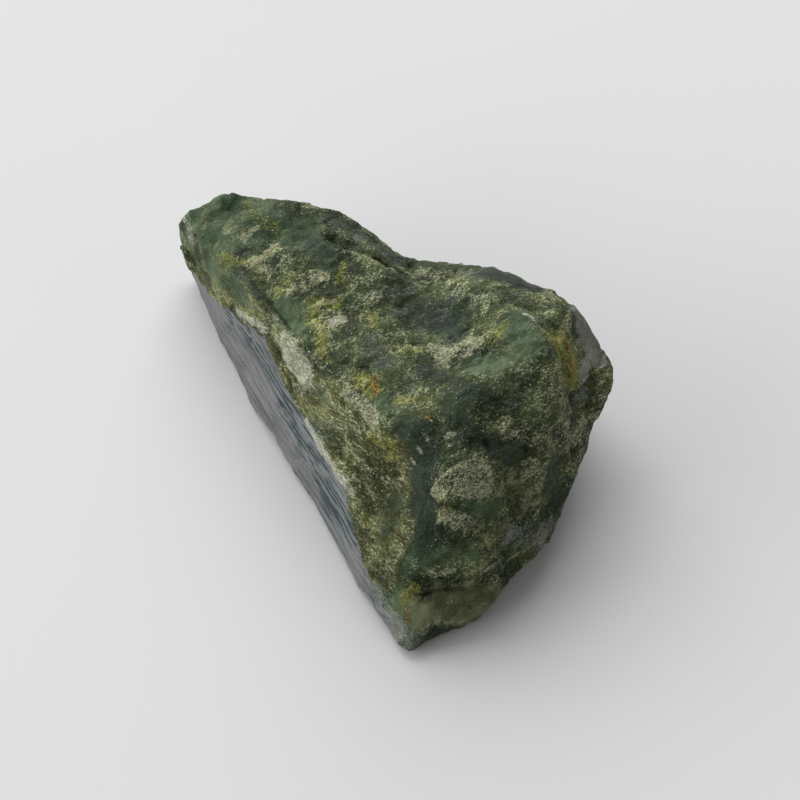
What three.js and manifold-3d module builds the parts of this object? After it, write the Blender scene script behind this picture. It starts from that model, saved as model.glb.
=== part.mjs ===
// Rough green sapphire: one solid broken stone that rests on a flat underside.
// Millimetres, +Z up. The origin lies on the resting plane, under the middle of the stone.
// The stone is shaped like a boat's hull: break lines run from its far end to its near tip,
// and the skin between neighbouring lines is then split, rounded and roughened.
import * as THREE from "three";
import { mergeVertices } from "three/addons/utils/BufferGeometryUtils.js";
import Module from "manifold-3d";

// Driving dimensions, in mm.
const LONGEST_EDGE = 1.9; // no triangle edge of the skin is longer
const FINE_EDGE = 1.0; // nor longer than this beside a seam or at a ledge's lip
const FINE_REACH = 1.1; // how far from a seam or a lip the fine edges go
const ROUNDING_PASSES = 4; // how far the corners are worn round
const ROUNDING_PULL = 0.5; // share of the way to the neighbours' middle in each pass
const ROUNDING_PUSH = -0.46; // the return stroke, which keeps the stone from shrinking
const ROUGHNESS = [
  { wave: 7.5, height: 0.5 },
  { wave: 3.4, height: 0.3 },
]; // fracture relief: wavelength and height
const SMOOTH_FACE_NORMAL = new THREE.Vector3(-0.9, -0.41, 0.12).normalize();
const SMOOTH_FACE_RELIEF = 0.25; // share of the relief that the smooth face keeps
const SMOOTH_FACE_BLEND = [0.9, 0.97]; // it fades in where the skin faces that way this squarely
const UNDERSIDE_SINK = 0.45; // the underside is ground off flat this far up
const UNDERSIDE_TILT = [0.6, 0.95]; // the relief fades out where the skin faces down this squarely
const FOOTING_INSET = [1.1, 0.5]; // how far the smooth face's foot curves in under the stone
const FOOTING_START = 3; // foot points at the far end that have no footing, for lack of width
const LEDGE_EDGE = 0.7; // how far a ledge takes to step up
const WAVER = { wave: 2.8, reach: 0.7 }; // how ledges and seams wander from their straight lines
const WAVER_SHIFTS = [31, 57, 83]; // set the wandering's three directions apart
const GRINDER_SIZE = 100; // larger than the stone in every direction
const TURN_FOLD = 0.9; // cosine of the sharpest fold across which edges are turned
const TURN_GAIN = 0.01; // smallest gain in angle, in radians, for which an edge is turned
const TURNS_BEFORE = 6; // rounds of edge turning before the corners are worn round
const TURNS_AFTER = 4; // and after the forms are raised

// The two ends, where all break lines meet.
const farEnd = [-22.4, 23.3, 5.5];
const nearTip = [1.1, -24.4, 0.8];

// Foot of the smooth left face, just above the surface that the stone lies on.
const foot = [
  [-22.7, 23.7, 3.5], [-22.0, 22.7, 2.0], [-21.1, 21.9, 1.0], [-20.4, 20.3, 0.8],
  [-19.7, 17.7, 0.8], [-18.7, 14.9, 0.8], [-17.6, 12.1, 0.8], [-15.9, 8.3, 0.8],
  [-14.9, 5.7, 0.8], [-13.9, 2.8, 0.8], [-12.8, 1.3, 0.8], [-10.9, -2.3, 0.8],
  [-8.5, -6.2, 0.8], [-6.6, -10.4, 0.8], [-4.8, -14.3, 0.8], [-2.4, -19.0, 0.8],
  [-1.3, -21.7, 0.8], [0.0, -23.4, 0.8],
];

// Upper edge of the smooth face.
const brow = [
  [-21.8, 21.9, 5.6], [-20.7, 20.2, 5.0], [-19.7, 17.9, 5.0], [-18.3, 15.1, 6.0],
  [-15.8, 11.5, 7.5], [-13.5, 8.3, 8.5], [-12.0, 5.0, 9.0], [-10.6, 1.3, 9.0],
  [-9.2, -1.5, 9.0], [-7.7, -4.5, 9.0], [-6.0, -7.6, 8.6], [-4.5, -10.9, 7.8],
  [-3.8, -14.4, 6.0], [-3.0, -16.9, 4.5], [-1.6, -19.5, 3.0], [-0.3, -21.7, 2.0],
  [0.6, -23.4, 1.5],
];

// Crease between the weathered flank and the top, then the ridge down to the tip.
const crease = [
  [-22.2, 22.0, 7.5], [-20.1, 18.8, 10.0], [-17.6, 15.7, 12.0], [-15.4, 13.5, 12.8],
  [-13.4, 10.2, 13.0], [-11.4, 6.4, 13.0], [-8.8, 2.6, 13.2], [-7.1, -0.7, 13.5],
  [-5.0, -3.4, 14.0], [-2.7, -6.3, 15.0], [-0.4, -8.5, 15.8], [1.4, -10.3, 14.8],
  [2.1, -12.1, 13.2], [2.2, -13.9, 11.5], [2.0, -15.6, 9.8], [1.2, -17.7, 7.5],
  [0.8, -18.8, 6.5], [0.5, -20.6, 4.8], [0.6, -22.1, 3.2], [1.1, -23.6, 2.2],
];

// Along the middle of the top, then down the left of the front face.
const topMiddle = [
  [-22.5, 22.8, 8.3], [-19.8, 21.1, 11.2], [-16.3, 18.8, 13.5], [-13.2, 16.5, 14.0],
  [-10.2, 13.5, 14.3], [-7.1, 9.8, 14.3], [-4.4, 5.5, 14.5], [-1.6, 0.9, 15.0],
  [0.9, -3.6, 16.0], [2.8, -7.3, 16.8], [4.0, -10.2, 15.5], [4.8, -12.7, 13.2],
  [4.8, -14.8, 11.0], [4.3, -16.8, 8.8], [3.9, -18.3, 7.0], [3.6, -18.6, 5.5],
  [3.4, -20.5, 4.6], [3.0, -21.9, 3.6], [2.4, -23.3, 2.6],
];

// Edge of the dark far slope, through the hollow, over the front rise and down the front.
const hollow = [
  [-21.6, 23.0, 10.0], [-19.1, 22.3, 12.6], [-15.9, 21.6, 13.5], [-12.8, 20.3, 14.0],
  [-9.7, 19.7, 14.0], [-7.5, 18.4, 14.0], [-5.1, 16.0, 14.2], [-1.6, 14.0, 14.2],
  [0.6, 12.9, 13.9], [2.1, 12.5, 13.0], [3.2, 9.4, 13.4], [4.6, 6.4, 13.8],
  [5.8, 2.7, 15.0], [6.7, -1.2, 16.6], [7.2, -4.5, 17.6], [8.0, -7.0, 17.4],
  [8.4, -9.7, 15.6], [9.0, -12.2, 13.3], [8.7, -14.6, 10.8], [8.1, -16.7, 8.6],
  [7.7, -18.3, 7.4], [7.4, -18.5, 5.6], [6.7, -20.1, 4.4], [4.9, -21.1, 3.2],
  [3.1, -22.6, 2.2],
];

// Far edge of the narrow lobe, the valley between the lobes, and the crown of the broad one.
const crest = [
  [-20.1, 22.7, 11.3], [-17.8, 23.7, 12.8], [-13.7, 23.1, 13.4], [-8.9, 22.4, 13.1],
  [-5.1, 21.9, 12.0], [-1.6, 19.6, 11.0], [0.4, 17.0, 10.2], [2.9, 12.3, 12.2],
  [5.2, 9.1, 14.4], [8.3, 7.5, 16.0], [11.3, 5.9, 17.4], [13.7, 2.9, 18.2],
  [14.6, -0.9, 18.4], [15.2, -3.2, 17.8], [15.0, -5.7, 15.9], [14.6, -8.5, 13.0],
  [14.1, -11.1, 9.9], [12.7, -13.8, 7.8], [10.7, -16.6, 5.8], [10.5, -17.2, 4.6],
  [9.9, -19.0, 2.8], [8.2, -20.3, 2.6], [5.6, -21.5, 2.3],
];

// Shoulder of the broad lobe. It leaves the crest in the valley.
const VALLEY = 7; // crest points up to the valley, which the shoulder shares
const shoulder = [
  ...crest.slice(0, VALLEY),
  [1.6, 15.1, 11.2], [4.4, 11.9, 13.0], [8.4, 10.9, 14.3], [11.9, 9.3, 15.3],
  [14.8, 7.3, 15.8], [16.6, 6.2, 15.8], [17.7, 4.0, 15.0], [18.1, 1.4, 14.0],
  [17.4, -1.1, 13.0], [17.0, -2.8, 12.0], [17.3, -5.1, 9.8], [16.8, -7.7, 7.5],
  [15.5, -10.6, 6.0], [13.8, -13.6, 4.8], [12.1, -15.3, 3.8], [10.8, -17.5, 3.0],
  [10.0, -19.6, 1.9], [8.0, -20.9, 1.8], [5.0, -22.1, 1.7],
];

// Widest line of the far side and of the right side.
const rim = [
  [-21.2, 24.0, 7.5], [-18.0, 24.8, 8.5], [-13.5, 24.6, 8.5], [-9.0, 23.7, 8.5],
  [-5.0, 22.4, 8.2], [-1.6, 20.0, 8.2], [1.3, 16.9, 8.8], [2.5, 16.8, 9.3],
  [5.4, 16.4, 10.5], [8.4, 14.5, 11.4], [10.1, 14.2, 11.9], [12.5, 13.0, 12.4],
  [14.6, 11.2, 13.3], [15.7, 11.0, 13.3], [18.2, 9.1, 13.0], [20.1, 6.5, 11.8],
  [21.5, 4.6, 10.5], [21.8, 2.4, 9.5], [20.9, 0.2, 8.8], [19.7, -1.5, 8.2],
  [19.6, -3.5, 7.5], [19.0, -5.7, 6.8], [18.3, -7.6, 6.0], [17.1, -9.8, 5.2],
  [16.4, -11.4, 4.7], [15.5, -13.1, 4.0], [14.5, -14.4, 3.5], [13.1, -15.8, 3.0],
  [11.4, -17.4, 2.4], [10.2, -18.7, 1.8], [9.2, -20.2, 1.4], [7.3, -21.4, 1.3],
  [5.4, -22.2, 1.3], [4.0, -22.6, 1.2], [2.6, -23.0, 1.0], [1.7, -24.1, 0.9],
];

// Side wall below the rim, which leans in under the stone.
const wall = [
  [-21.2, 23.8, 4.0], [-19.0, 24.5, 4.5], [-14.5, 24.3, 4.2], [-9.5, 23.4, 4.0],
  [-5.0, 21.5, 4.0], [-1.0, 19.2, 4.0], [3.0, 17.8, 4.2], [7.0, 16.6, 4.5],
  [11.0, 14.6, 4.8], [15.0, 11.5, 5.0], [18.0, 7.5, 5.0], [19.3, 3.0, 4.8],
  [18.8, -1.8, 4.2], [17.6, -5.5, 3.4], [15.8, -9.5, 2.5], [13.4, -13.2, 1.7],
  [10.6, -16.5, 1.2], [8.7, -19.1, 1.0], [5.8, -21.2, 0.9], [3.2, -22.6, 0.8],
];

// Edge of the underside on the far and right sides.
const bed = [
  [-20.0, 21.9, 0], [-16.0, 22.3, 0], [-11.0, 21.5, 0], [-6.0, 19.8, 0],
  [-1.0, 17.2, 0], [4.0, 15.6, 0], [9.0, 13.5, 0], [13.0, 10.2, 0],
  [15.6, 6.0, 0], [16.2, 1.5, 0], [15.2, -3.0, 0], [13.2, -7.5, 0],
  [11.0, -11.5, 0], [8.8, -15.2, 0], [6.5, -18.6, 0], [4.0, -20.9, 0],
  [2.0, -22.8, 0],
];

// Edge of the underside along the smooth face.
const footing = foot
  .slice(FOOTING_START)
  .map(([x, y]) => [x + FOOTING_INSET[0], y + FOOTING_INSET[1], 0]);

const lines = [foot, brow, crease, topMiddle, hollow, crest, shoulder, rim, wall, bed, footing];

// Lumps that stand proud of the skin, and scoops with a negative rise.
const lumps = [
  // The plate on the front, the crown, the fin on the right, the far corner and the near tip.
  { at: [7.0, -11.9, 13.4], reach: 3.0, rise: 0.7 },
  { at: [12.0, 0.2, 17.9], reach: 4.0, rise: 0.35 },
  { at: [20.9, 3.0, 9.8], reach: 1.8, rise: 0.4 },
  { at: [-21.4, 21.9, 8.8], reach: 2.0, rise: 0.4 },
  { at: [1.3, -23.4, 1.6], reach: 1.2, rise: 0.3 },
  // The hollow, the two flats beside the fin, the swell on the flank and the notch by the tip.
  { at: [4.4, 6.8, 13.9], reach: 3.6, rise: -0.6 },
  { at: [19.2, 4.2, 12.5], reach: 2.8, rise: -0.5 },
  { at: [18.4, -0.8, 11.6], reach: 1.9, rise: -0.8 },
  { at: [-10.4, 4.0, 12.0], reach: 2.2, rise: 0.4 },
  { at: [2.7, -23.7, 0.9], reach: 0.8, rise: -0.3 },
  // The far side and the right side, from left to right.
  { at: [-14.5, 24.6, 7.0], reach: 4.5, rise: -1.0 },
  { at: [-9.0, 23.6, 3.2], reach: 3.0, rise: 0.7 },
  { at: [-4.0, 21.6, 5.5], reach: 4.0, rise: -0.8 },
  { at: [6.0, 17.4, 7.5], reach: 3.6, rise: -0.9 },
  { at: [10.0, 16.0, 3.5], reach: 2.6, rise: 0.6 },
  { at: [13.5, 13.2, 8.0], reach: 4.4, rise: -1.1 },
  { at: [20.0, 4.0, 6.0], reach: 3.2, rise: -0.8 },
  { at: [15.0, -9.5, 1.6], reach: 2.2, rise: -0.5 },
];

// Ledges: a lip whose low side faces one way, and which fades back over its run.
const ledges = [
  // The plate, the lump and the two lips below it on the front, and the scarp by the hollow.
  { at: [4.1, -12.9, 12.8], facing: [-0.8, -0.5, -0.3], width: 2.2, rise: 0.7, run: 2.6 },
  { at: [4.9, -15.6, 10.1], facing: [-0.9, -0.3, -0.3], width: 1.6, rise: 0.5, run: 2.0 },
  { at: [4.0, -18.2, 6.9], facing: [0.0, -0.4, -0.9], width: 3.0, rise: 0.5, run: 1.8 },
  { at: [9.2, -17.0, 6.9], facing: [0.3, -0.5, -0.8], width: 2.4, rise: 0.5, run: 1.8 },
  { at: [6.4, 2.9, 15.3], facing: [-0.5, 0.8, -0.3], width: 3.6, rise: 0.6, run: 3.5 },
  // The right of the front, then the far side from left to right.
  { at: [17.4, -4.6, 9.6], facing: [0.3, -0.4, -0.9], width: 3.5, rise: 0.7, run: 2.6 },
  { at: [14.6, -7.2, 14.0], facing: [0.5, -0.5, -0.7], width: 3.0, rise: 0.6, run: 2.4 },
  { at: [-13.0, 24.3, 8.9], facing: [0.2, 0.3, -0.9], width: 5.0, rise: 0.8, run: 2.6 },
  { at: [2.5, 18.0, 7.2], facing: [-0.5, 0.3, -0.8], width: 3.6, rise: 0.7, run: 2.6 },
  { at: [10.5, 15.3, 9.6], facing: [0.3, 0.4, -0.9], width: 4.4, rise: 0.9, run: 2.8 },
  { at: [19.2, 6.8, 8.8], facing: [0.5, 0.2, -0.8], width: 3.4, rise: 0.7, run: 2.4 },
];

// Long open seams between two points.
const seams = [
  { from: [-6.4, 17.2, 14.1], to: [1.6, 12.6, 13.2], width: 0.8, depth: 0.8 },
  { from: [-14.0, 12.0, 13.0], to: [-6.6, -1.2, 13.7], width: 1.0, depth: 0.5 },
];

// Distance between two points.
function span(a, b) {
  return Math.hypot(a[0] - b[0], a[1] - b[1], a[2] - b[2]);
}

// A repeatable number from -1 to 1 for each whole-number place: the odd digits of a large sine.
function lattice(x, y, z) {
  const mixed = Math.sin(x * 127.1 + y * 311.7 + z * 74.7) * 43758.5453;
  return 2 * (mixed - Math.floor(mixed)) - 1;
}

// Smooth noise from -1 to 1, one wave long per unit.
function noise(x, y, z) {
  const [i, j, k] = [x, y, z].map(Math.floor);
  const [u, v, w] = [x - i, y - j, z - k].map((t) => THREE.MathUtils.smootherstep(t, 0, 1));
  const { lerp } = THREE.MathUtils;
  const row = (b, c) => lerp(lattice(i, j + b, k + c), lattice(i + 1, j + b, k + c), u);
  return lerp(lerp(row(0, 0), row(1, 0), v), lerp(row(0, 1), row(1, 1), v), w);
}

// Triangles between two break lines, each step taking the shorter cross edge.
function stitch(left, right) {
  const triangles = [];
  let i = 0;
  let j = 0;
  while (i < left.length - 1 || j < right.length - 1) {
    const stepLeft = i < left.length - 1 ? span(left[i + 1], right[j]) : Infinity;
    const stepRight = j < right.length - 1 ? span(left[i], right[j + 1]) : Infinity;
    if (stepLeft <= stepRight) {
      triangles.push([left[i], left[i + 1], right[j]]);
      i += 1;
    } else {
      triangles.push([left[i], right[j + 1], right[j]]);
      j += 1;
    }
  }
  return triangles;
}

// The coarse skin as shared points and triangles of their indices.
function coarseSkin() {
  const points = [];
  const numbers = new Map();
  const numberOf = (point) => {
    const key = point.join();
    if (!numbers.has(key)) {
      numbers.set(key, points.length);
      points.push(new THREE.Vector3(...point));
    }
    return numbers.get(key);
  };
  const triangles = [];
  const whole = lines.map((line) => [farEnd, ...line, nearTip]);
  whole.forEach((line, n) => {
    for (const corners of stitch(line, whole[(n + 1) % whole.length])) {
      const [a, b, c] = corners.map(numberOf);
      if (a !== b && b !== c && c !== a) triangles.push([a, b, c]);
    }
  });
  return { points, triangles };
}

// A name for the edge between two points, whichever way it runs.
function edgeName(a, b) {
  return a < b ? `${a} ${b}` : `${b} ${a}`;
}

// One triangle cut at the middles of its marked edges, the longest edge first.
function splitFace([a, b, c], middleOf, lengthOf) {
  const turns = [[a, b, c], [b, c, a], [c, a, b]].filter(([p, q]) => middleOf(p, q) !== undefined);
  if (!turns.length) return [[a, b, c]];
  const [p, q, r] = turns.reduce((s, t) => (lengthOf(t[0], t[1]) > lengthOf(s[0], s[1]) ? t : s));
  const middle = middleOf(p, q);
  return [[p, middle, r], [middle, q, r]].flatMap((half) => splitFace(half, middleOf, lengthOf));
}

// A point moved a little off its place, so that whatever is measured from there wanders.
function wavered(point) {
  const [x, y, z] = point.toArray().map((value) => value / WAVER.wave);
  const [a, b, c] = WAVER_SHIFTS;
  const drift = new THREE.Vector3(noise(x, y, z + a), noise(x, y + b, z), noise(x + c, y, z));
  return drift.multiplyScalar(WAVER.reach).add(point);
}

// How far behind a ledge's lip a point lies, and how far along it as a share of its width.
function placeOnLedge(point, { at, facing, width }) {
  const front = new THREE.Vector3(...facing).normalize();
  const offset = wavered(point).sub(new THREE.Vector3(...at));
  const behind = -offset.dot(front);
  return { behind, aside: offset.addScaledVector(front, behind).length() / width };
}

// How far a point lies from a seam.
function distanceToSeam(point, { from, to }) {
  const line = new THREE.Line3(new THREE.Vector3(...from), new THREE.Vector3(...to));
  const place = wavered(point);
  return place.distanceTo(line.closestPointToPoint(place, true, new THREE.Vector3()));
}

// The longest edge that is allowed with its middle at a point.
function longestAt(point) {
  const atLip = ledges.some((ledge) => {
    const { behind, aside } = placeOnLedge(point, ledge);
    return Math.abs(behind) < FINE_REACH && aside < 1;
  });
  const atSeam = seams.some((seam) => distanceToSeam(point, seam) < FINE_REACH + seam.width);
  return atLip || atSeam ? FINE_EDGE : LONGEST_EDGE;
}

// Splits each triangle's longest edge at its middle, until none is over the longest allowed.
function splitLongEdges({ points, triangles }) {
  const lengthOf = (a, b) => points[a].distanceTo(points[b]);
  const middlePoint = (a, b) => points[a].clone().lerp(points[b], 0.5);
  let faces = triangles;
  for (;;) {
    const middles = new Map();
    for (const [a, b, c] of faces) {
      const sides = [[a, b], [b, c], [c, a]];
      const [from, to] = sides.reduce((p, q) => (lengthOf(...q) > lengthOf(...p) ? q : p));
      if (lengthOf(from, to) <= FINE_EDGE) continue;
      if (lengthOf(from, to) > longestAt(middlePoint(from, to))) {
        middles.set(edgeName(from, to), [from, to]);
      }
    }
    if (!middles.size) return { points, triangles: faces };
    for (const [name, [from, to]] of middles) {
      middles.set(name, points.length);
      points.push(middlePoint(from, to));
    }
    const middleOf = (a, b) => middles.get(edgeName(a, b));
    faces = faces.flatMap((face) => splitFace(face, middleOf, lengthOf));
  }
}

// The angle at corner c of the triangle a, b, c.
function cornerAngle(a, b, c) {
  return new THREE.Vector3().subVectors(a, c).angleTo(new THREE.Vector3().subVectors(b, c));
}

// A triangle's outward normal.
function faceNormal(a, b, c) {
  return new THREE.Triangle(a, b, c).getNormal(new THREE.Vector3());
}

// Turns round the shared edge of two triangles wherever that makes both less of a sliver.
function turnEdges({ points, triangles }, passes) {
  for (let pass = 0; pass < passes; pass += 1) {
    const sides = new Map();
    triangles.forEach(([a, b, c], n) => {
      for (const [p, q, r] of [[a, b, c], [b, c, a], [c, a, b]]) {
        const name = edgeName(p, q);
        sides.set(name, [...(sides.get(name) ?? []), { n, p, q, r }]);
      }
    });
    const touched = new Set();
    const turned = new Set();
    for (const [one, other] of sides.values()) {
      if (touched.has(one.n) || touched.has(other.n)) continue;
      const across = edgeName(one.r, other.r);
      if (sides.has(across) || turned.has(across)) continue;
      const [p, q, r, s] = [one.p, one.q, one.r, other.r].map((index) => points[index]);
      if (cornerAngle(p, q, r) + cornerAngle(p, q, s) <= Math.PI + TURN_GAIN) continue;
      const before = faceNormal(p, q, r);
      const made = [faceNormal(r, s, q), faceNormal(s, r, p)];
      if (before.dot(faceNormal(q, p, s)) < TURN_FOLD) continue;
      if (made.some((normal) => normal.dot(before) < TURN_FOLD)) continue;
      triangles[one.n] = [one.r, other.r, one.q];
      triangles[other.n] = [other.r, one.r, one.p];
      touched.add(one.n).add(other.n);
      turned.add(across);
    }
    if (!touched.size) return;
  }
}

// Each point's neighbours.
function neighboursOf({ points, triangles }) {
  const near = points.map(() => new Set());
  for (const [a, b, c] of triangles) {
    near[a].add(b).add(c);
    near[b].add(c).add(a);
    near[c].add(a).add(b);
  }
  return near.map((set) => [...set]);
}

// Wears the corners round: each point moves towards the middle of its neighbours, then back out.
function roundOff(skin, passes) {
  const near = neighboursOf(skin);
  for (let pass = 0; pass < passes; pass += 1) {
    for (const share of [ROUNDING_PULL, ROUNDING_PUSH]) {
      const middles = near.map((around) => {
        const sum = new THREE.Vector3();
        around.forEach((n) => sum.add(skin.points[n]));
        return sum.divideScalar(around.length);
      });
      skin.points.forEach((point, n) => point.lerp(middles[n], share));
    }
  }
}

// Each point's outward normal.
function pointNormals({ points, triangles }) {
  const normals = points.map(() => new THREE.Vector3());
  for (const corners of triangles) {
    const [a, b, c] = corners.map((n) => points[n]);
    const area = new THREE.Vector3().subVectors(b, a).cross(new THREE.Vector3().subVectors(c, a));
    corners.forEach((n) => normals[n].add(area));
  }
  return normals.map((normal) => normal.normalize());
}

// How far a lump or scoop lifts a point.
function lumpRise(point, { at, reach, rise }) {
  const away = point.distanceTo(new THREE.Vector3(...at)) / reach;
  return rise * Math.exp(-(away ** 4));
}

// How far a ledge lifts a point: nothing below the lip, most at the lip, less behind it.
function ledgeRise(point, ledge) {
  const { behind, aside } = placeOnLedge(point, ledge);
  const step = THREE.MathUtils.smoothstep(behind, -LEDGE_EDGE / 2, LEDGE_EDGE / 2);
  const fade = Math.exp(-Math.max(behind, 0) / ledge.run) * Math.exp(-(aside ** 4));
  return ledge.rise * step * fade;
}

// How far a seam lowers a point.
function seamRise(point, seam) {
  return -seam.depth * Math.exp(-((distanceToSeam(point, seam) / seam.width) ** 2));
}

// Moves each point along its normal by the forms above and by the fracture relief.
function shapeSkin(skin) {
  const normals = pointNormals(skin);
  skin.points.forEach((point, n) => {
    const polish = THREE.MathUtils.smoothstep(normals[n].dot(SMOOTH_FACE_NORMAL), ...SMOOTH_FACE_BLEND);
    const under = THREE.MathUtils.smoothstep(-normals[n].z, ...UNDERSIDE_TILT);
    const relief = ROUGHNESS.reduce(
      (sum, { wave, height }) => sum + height * noise(point.x / wave, point.y / wave, point.z / wave),
      0,
    );
    const forms = [
      ...lumps.map((lump) => lumpRise(point, lump)),
      ...ledges.map((ledge) => ledgeRise(point, ledge)),
      ...seams.map((seam) => seamRise(point, seam)),
    ].reduce((sum, rise) => sum + rise, 0);
    const kept = THREE.MathUtils.lerp(1, SMOOTH_FACE_RELIEF, polish) * (1 - under);
    point.addScaledVector(normals[n], forms + relief * kept);
  });
}

// A closed skin of points and triangles as a solid.
function solidOfSkin({ points, triangles }) {
  const vertProperties = new Float32Array(points.flatMap((point) => point.toArray()));
  const triVerts = new Uint32Array(triangles.flat());
  return new wasm.Manifold(new wasm.Mesh({ numProp: 3, vertProperties, triVerts }));
}

// A closed three.js geometry as a solid.
function solidOfGeometry(geometry) {
  geometry.deleteAttribute("normal");
  geometry.deleteAttribute("uv");
  const merged = mergeVertices(geometry);
  const vertProperties = merged.attributes.position.array;
  const triVerts = new Uint32Array(merged.index.array);
  return new wasm.Manifold(new wasm.Mesh({ numProp: 3, vertProperties, triVerts }));
}

// A solid's surface as three.js geometry.
function geometryOf(solid) {
  const { numProp, vertProperties, triVerts } = solid.getMesh();
  const geometry = new THREE.BufferGeometry();
  geometry.setAttribute("position", new THREE.BufferAttribute(vertProperties, numProp));
  geometry.setIndex(new THREE.BufferAttribute(triVerts, 1));
  return geometry;
}

// Grinds the underside off flat, so that the stone rests on it.
function grindFlat(solid, height) {
  const slab = new THREE.BoxGeometry(GRINDER_SIZE, GRINDER_SIZE, GRINDER_SIZE);
  slab.translate(0, 0, height - GRINDER_SIZE / 2);
  return solid.subtract(solidOfGeometry(slab));
}

const wasm = await Module();
wasm.setup();

const skin = splitLongEdges(coarseSkin());
turnEdges(skin, TURNS_BEFORE);
roundOff(skin, ROUNDING_PASSES);
shapeSkin(skin);
turnEdges(skin, TURNS_AFTER);
const stone = grindFlat(solidOfSkin(skin), UNDERSIDE_SINK);

// The stone's geometry, with the origin under the middle of its box.
const geometry = geometryOf(stone);
geometry.computeBoundingBox();
const { min, max } = geometry.boundingBox;
geometry.translate(-(min.x + max.x) / 2, -(min.y + max.y) / 2, -min.z);

const group = new THREE.Group();
const mesh = new THREE.Mesh(
  geometry,
  new THREE.MeshStandardMaterial({ color: 0x4a5638, roughness: 0.55, metalness: 0 }),
);
mesh.name = "stone";
group.add(mesh);

export default group;
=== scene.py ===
"""Looks of a rough green sapphire: its broken skin, its weathered finishes and a plain studio.

Lengths in this file are in millimetres where a name or a docstring says so, and in metres in
Blender. A spot on the stone is named by its place (across, down) in the 800 by 800 frame of
the main view, and lies where the line of sight through that place meets the stone.
"""
import logging
import math
from dataclasses import dataclass, field
from enum import Enum

import bpy
import numpy as np
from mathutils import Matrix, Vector
from mathutils.bvhtree import BVHTree


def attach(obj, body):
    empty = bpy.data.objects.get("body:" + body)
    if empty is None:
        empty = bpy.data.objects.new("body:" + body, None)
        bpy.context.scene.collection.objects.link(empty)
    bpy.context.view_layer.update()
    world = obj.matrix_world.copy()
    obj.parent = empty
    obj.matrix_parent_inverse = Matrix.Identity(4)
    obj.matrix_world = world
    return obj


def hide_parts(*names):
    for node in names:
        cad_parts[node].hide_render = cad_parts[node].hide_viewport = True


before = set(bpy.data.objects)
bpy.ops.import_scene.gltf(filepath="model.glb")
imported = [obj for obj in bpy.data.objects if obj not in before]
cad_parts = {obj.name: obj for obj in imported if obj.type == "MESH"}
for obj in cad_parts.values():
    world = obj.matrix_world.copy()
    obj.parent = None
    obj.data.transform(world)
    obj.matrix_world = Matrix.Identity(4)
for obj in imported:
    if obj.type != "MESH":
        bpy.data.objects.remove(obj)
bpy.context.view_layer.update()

LOG = logging.getLogger("rough_sapphire")
MM = 0.001
NODE = "stone"
BODY = "root"

Place = tuple[float, float]
Vec3 = tuple[float, float, float]
Colour = tuple[float, float, float, float]
Span = tuple[float, float]
Socket = bpy.types.NodeSocket


# ---- The main view ----


@dataclass(frozen=True)
class MainView:
    """The camera's stand: a long lens that looks down on the stone from the front.

    Attributes:
        target: Point that the camera looks at, in mm.
        elevation: Angle above the horizon, in degrees.
        distance: From the target to the lens, in mm.
        half_width: Half of the frame's width at the target, in mm.
        frame_side: Side of the square frame, in places.
        sensor: Width of the sensor, in mm.
        near: The nearest thing that shows, in metres.
        far: The farthest thing that shows, in metres.
    """

    target: Vec3 = (0.73, 0.99, 7.55)
    elevation: float = 55.0
    distance: float = 420.0
    half_width: float = 40.0
    frame_side: float = 800.0
    sensor: float = 36.0
    near: float = 0.01
    far: float = 10.0

    @property
    def place_width(self) -> float:
        """How wide one place of the frame is at the target, in mm."""
        return 2 * self.half_width / self.frame_side

    def axes(self) -> tuple[np.ndarray, np.ndarray, np.ndarray]:
        """Returns the unit vectors to the right, up and back towards the lens."""
        rise = math.radians(self.elevation)
        right = np.array([1.0, 0.0, 0.0])
        up = np.array([0.0, math.sin(rise), math.cos(rise)])
        back = np.array([0.0, -math.cos(rise), math.sin(rise)])
        return right, up, back

    def lens_place(self) -> np.ndarray:
        """Returns the lens's place in mm."""
        return np.array(self.target) + self.distance * self.axes()[2]

    def sight(self, place: Place) -> np.ndarray:
        """Direction of the line of sight through a place in the frame.

        Args:
            place: Across and down in the frame.

        Returns:
            A unit vector that points away from the lens.
        """
        right, up, back = self.axes()
        half = self.frame_side / 2
        scale = self.half_width / self.distance / half
        line = right * (place[0] - half) * scale + up * (half - place[1]) * scale - back
        return line / np.linalg.norm(line)

    def places(self, points: np.ndarray) -> np.ndarray:
        """Where points in mm show in the frame.

        Args:
            points: Points in mm, one in each row.

        Returns:
            Their places, one in each row.
        """
        right, up, back = self.axes()
        offset = points - self.lens_place()
        depth = -(offset @ back)
        half = self.frame_side / 2
        scale = self.distance / self.half_width * half
        across = half + offset @ right / depth * scale
        down = half - offset @ up / depth * scale
        return np.stack([across, down], axis=-1)

    def build(self) -> bpy.types.Object:
        """Makes the camera.

        Returns:
            The camera object, set as the scene's camera.
        """
        data = bpy.data.cameras.new("main_view")
        data.sensor_width = self.sensor
        data.lens = self.sensor / 2 * self.distance / self.half_width
        data.clip_start = self.near
        data.clip_end = self.far
        camera = bpy.data.objects.new("main_view", data)
        camera.location = Vector(self.lens_place() * MM)
        back = Vector(self.axes()[2])
        camera.rotation_mode = "QUATERNION"
        camera.rotation_quaternion = (-back).to_track_quat("-Z", "Y")
        bpy.context.scene.collection.objects.link(camera)
        bpy.context.scene.camera = camera
        return camera


# ---- Repeatable random fields ----


def smooth(values: np.ndarray, low: float, high: float) -> np.ndarray:
    """Smooth step from 0 at low to 1 at high.

    Args:
        values: Any values.
        low: Where the step starts.
        high: Where it ends; it may be under low, which turns the step round.

    Returns:
        Values from 0 to 1.
    """
    share = np.clip((values - low) / (high - low), 0.0, 1.0)
    return share * share * (3.0 - 2.0 * share)


# Odd whole numbers that stir the bits of a place's three parts and of a seed.
STIR = tuple(np.uint32(number) for number in (374761393, 668265263, 2246822519, 3266489917))


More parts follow.
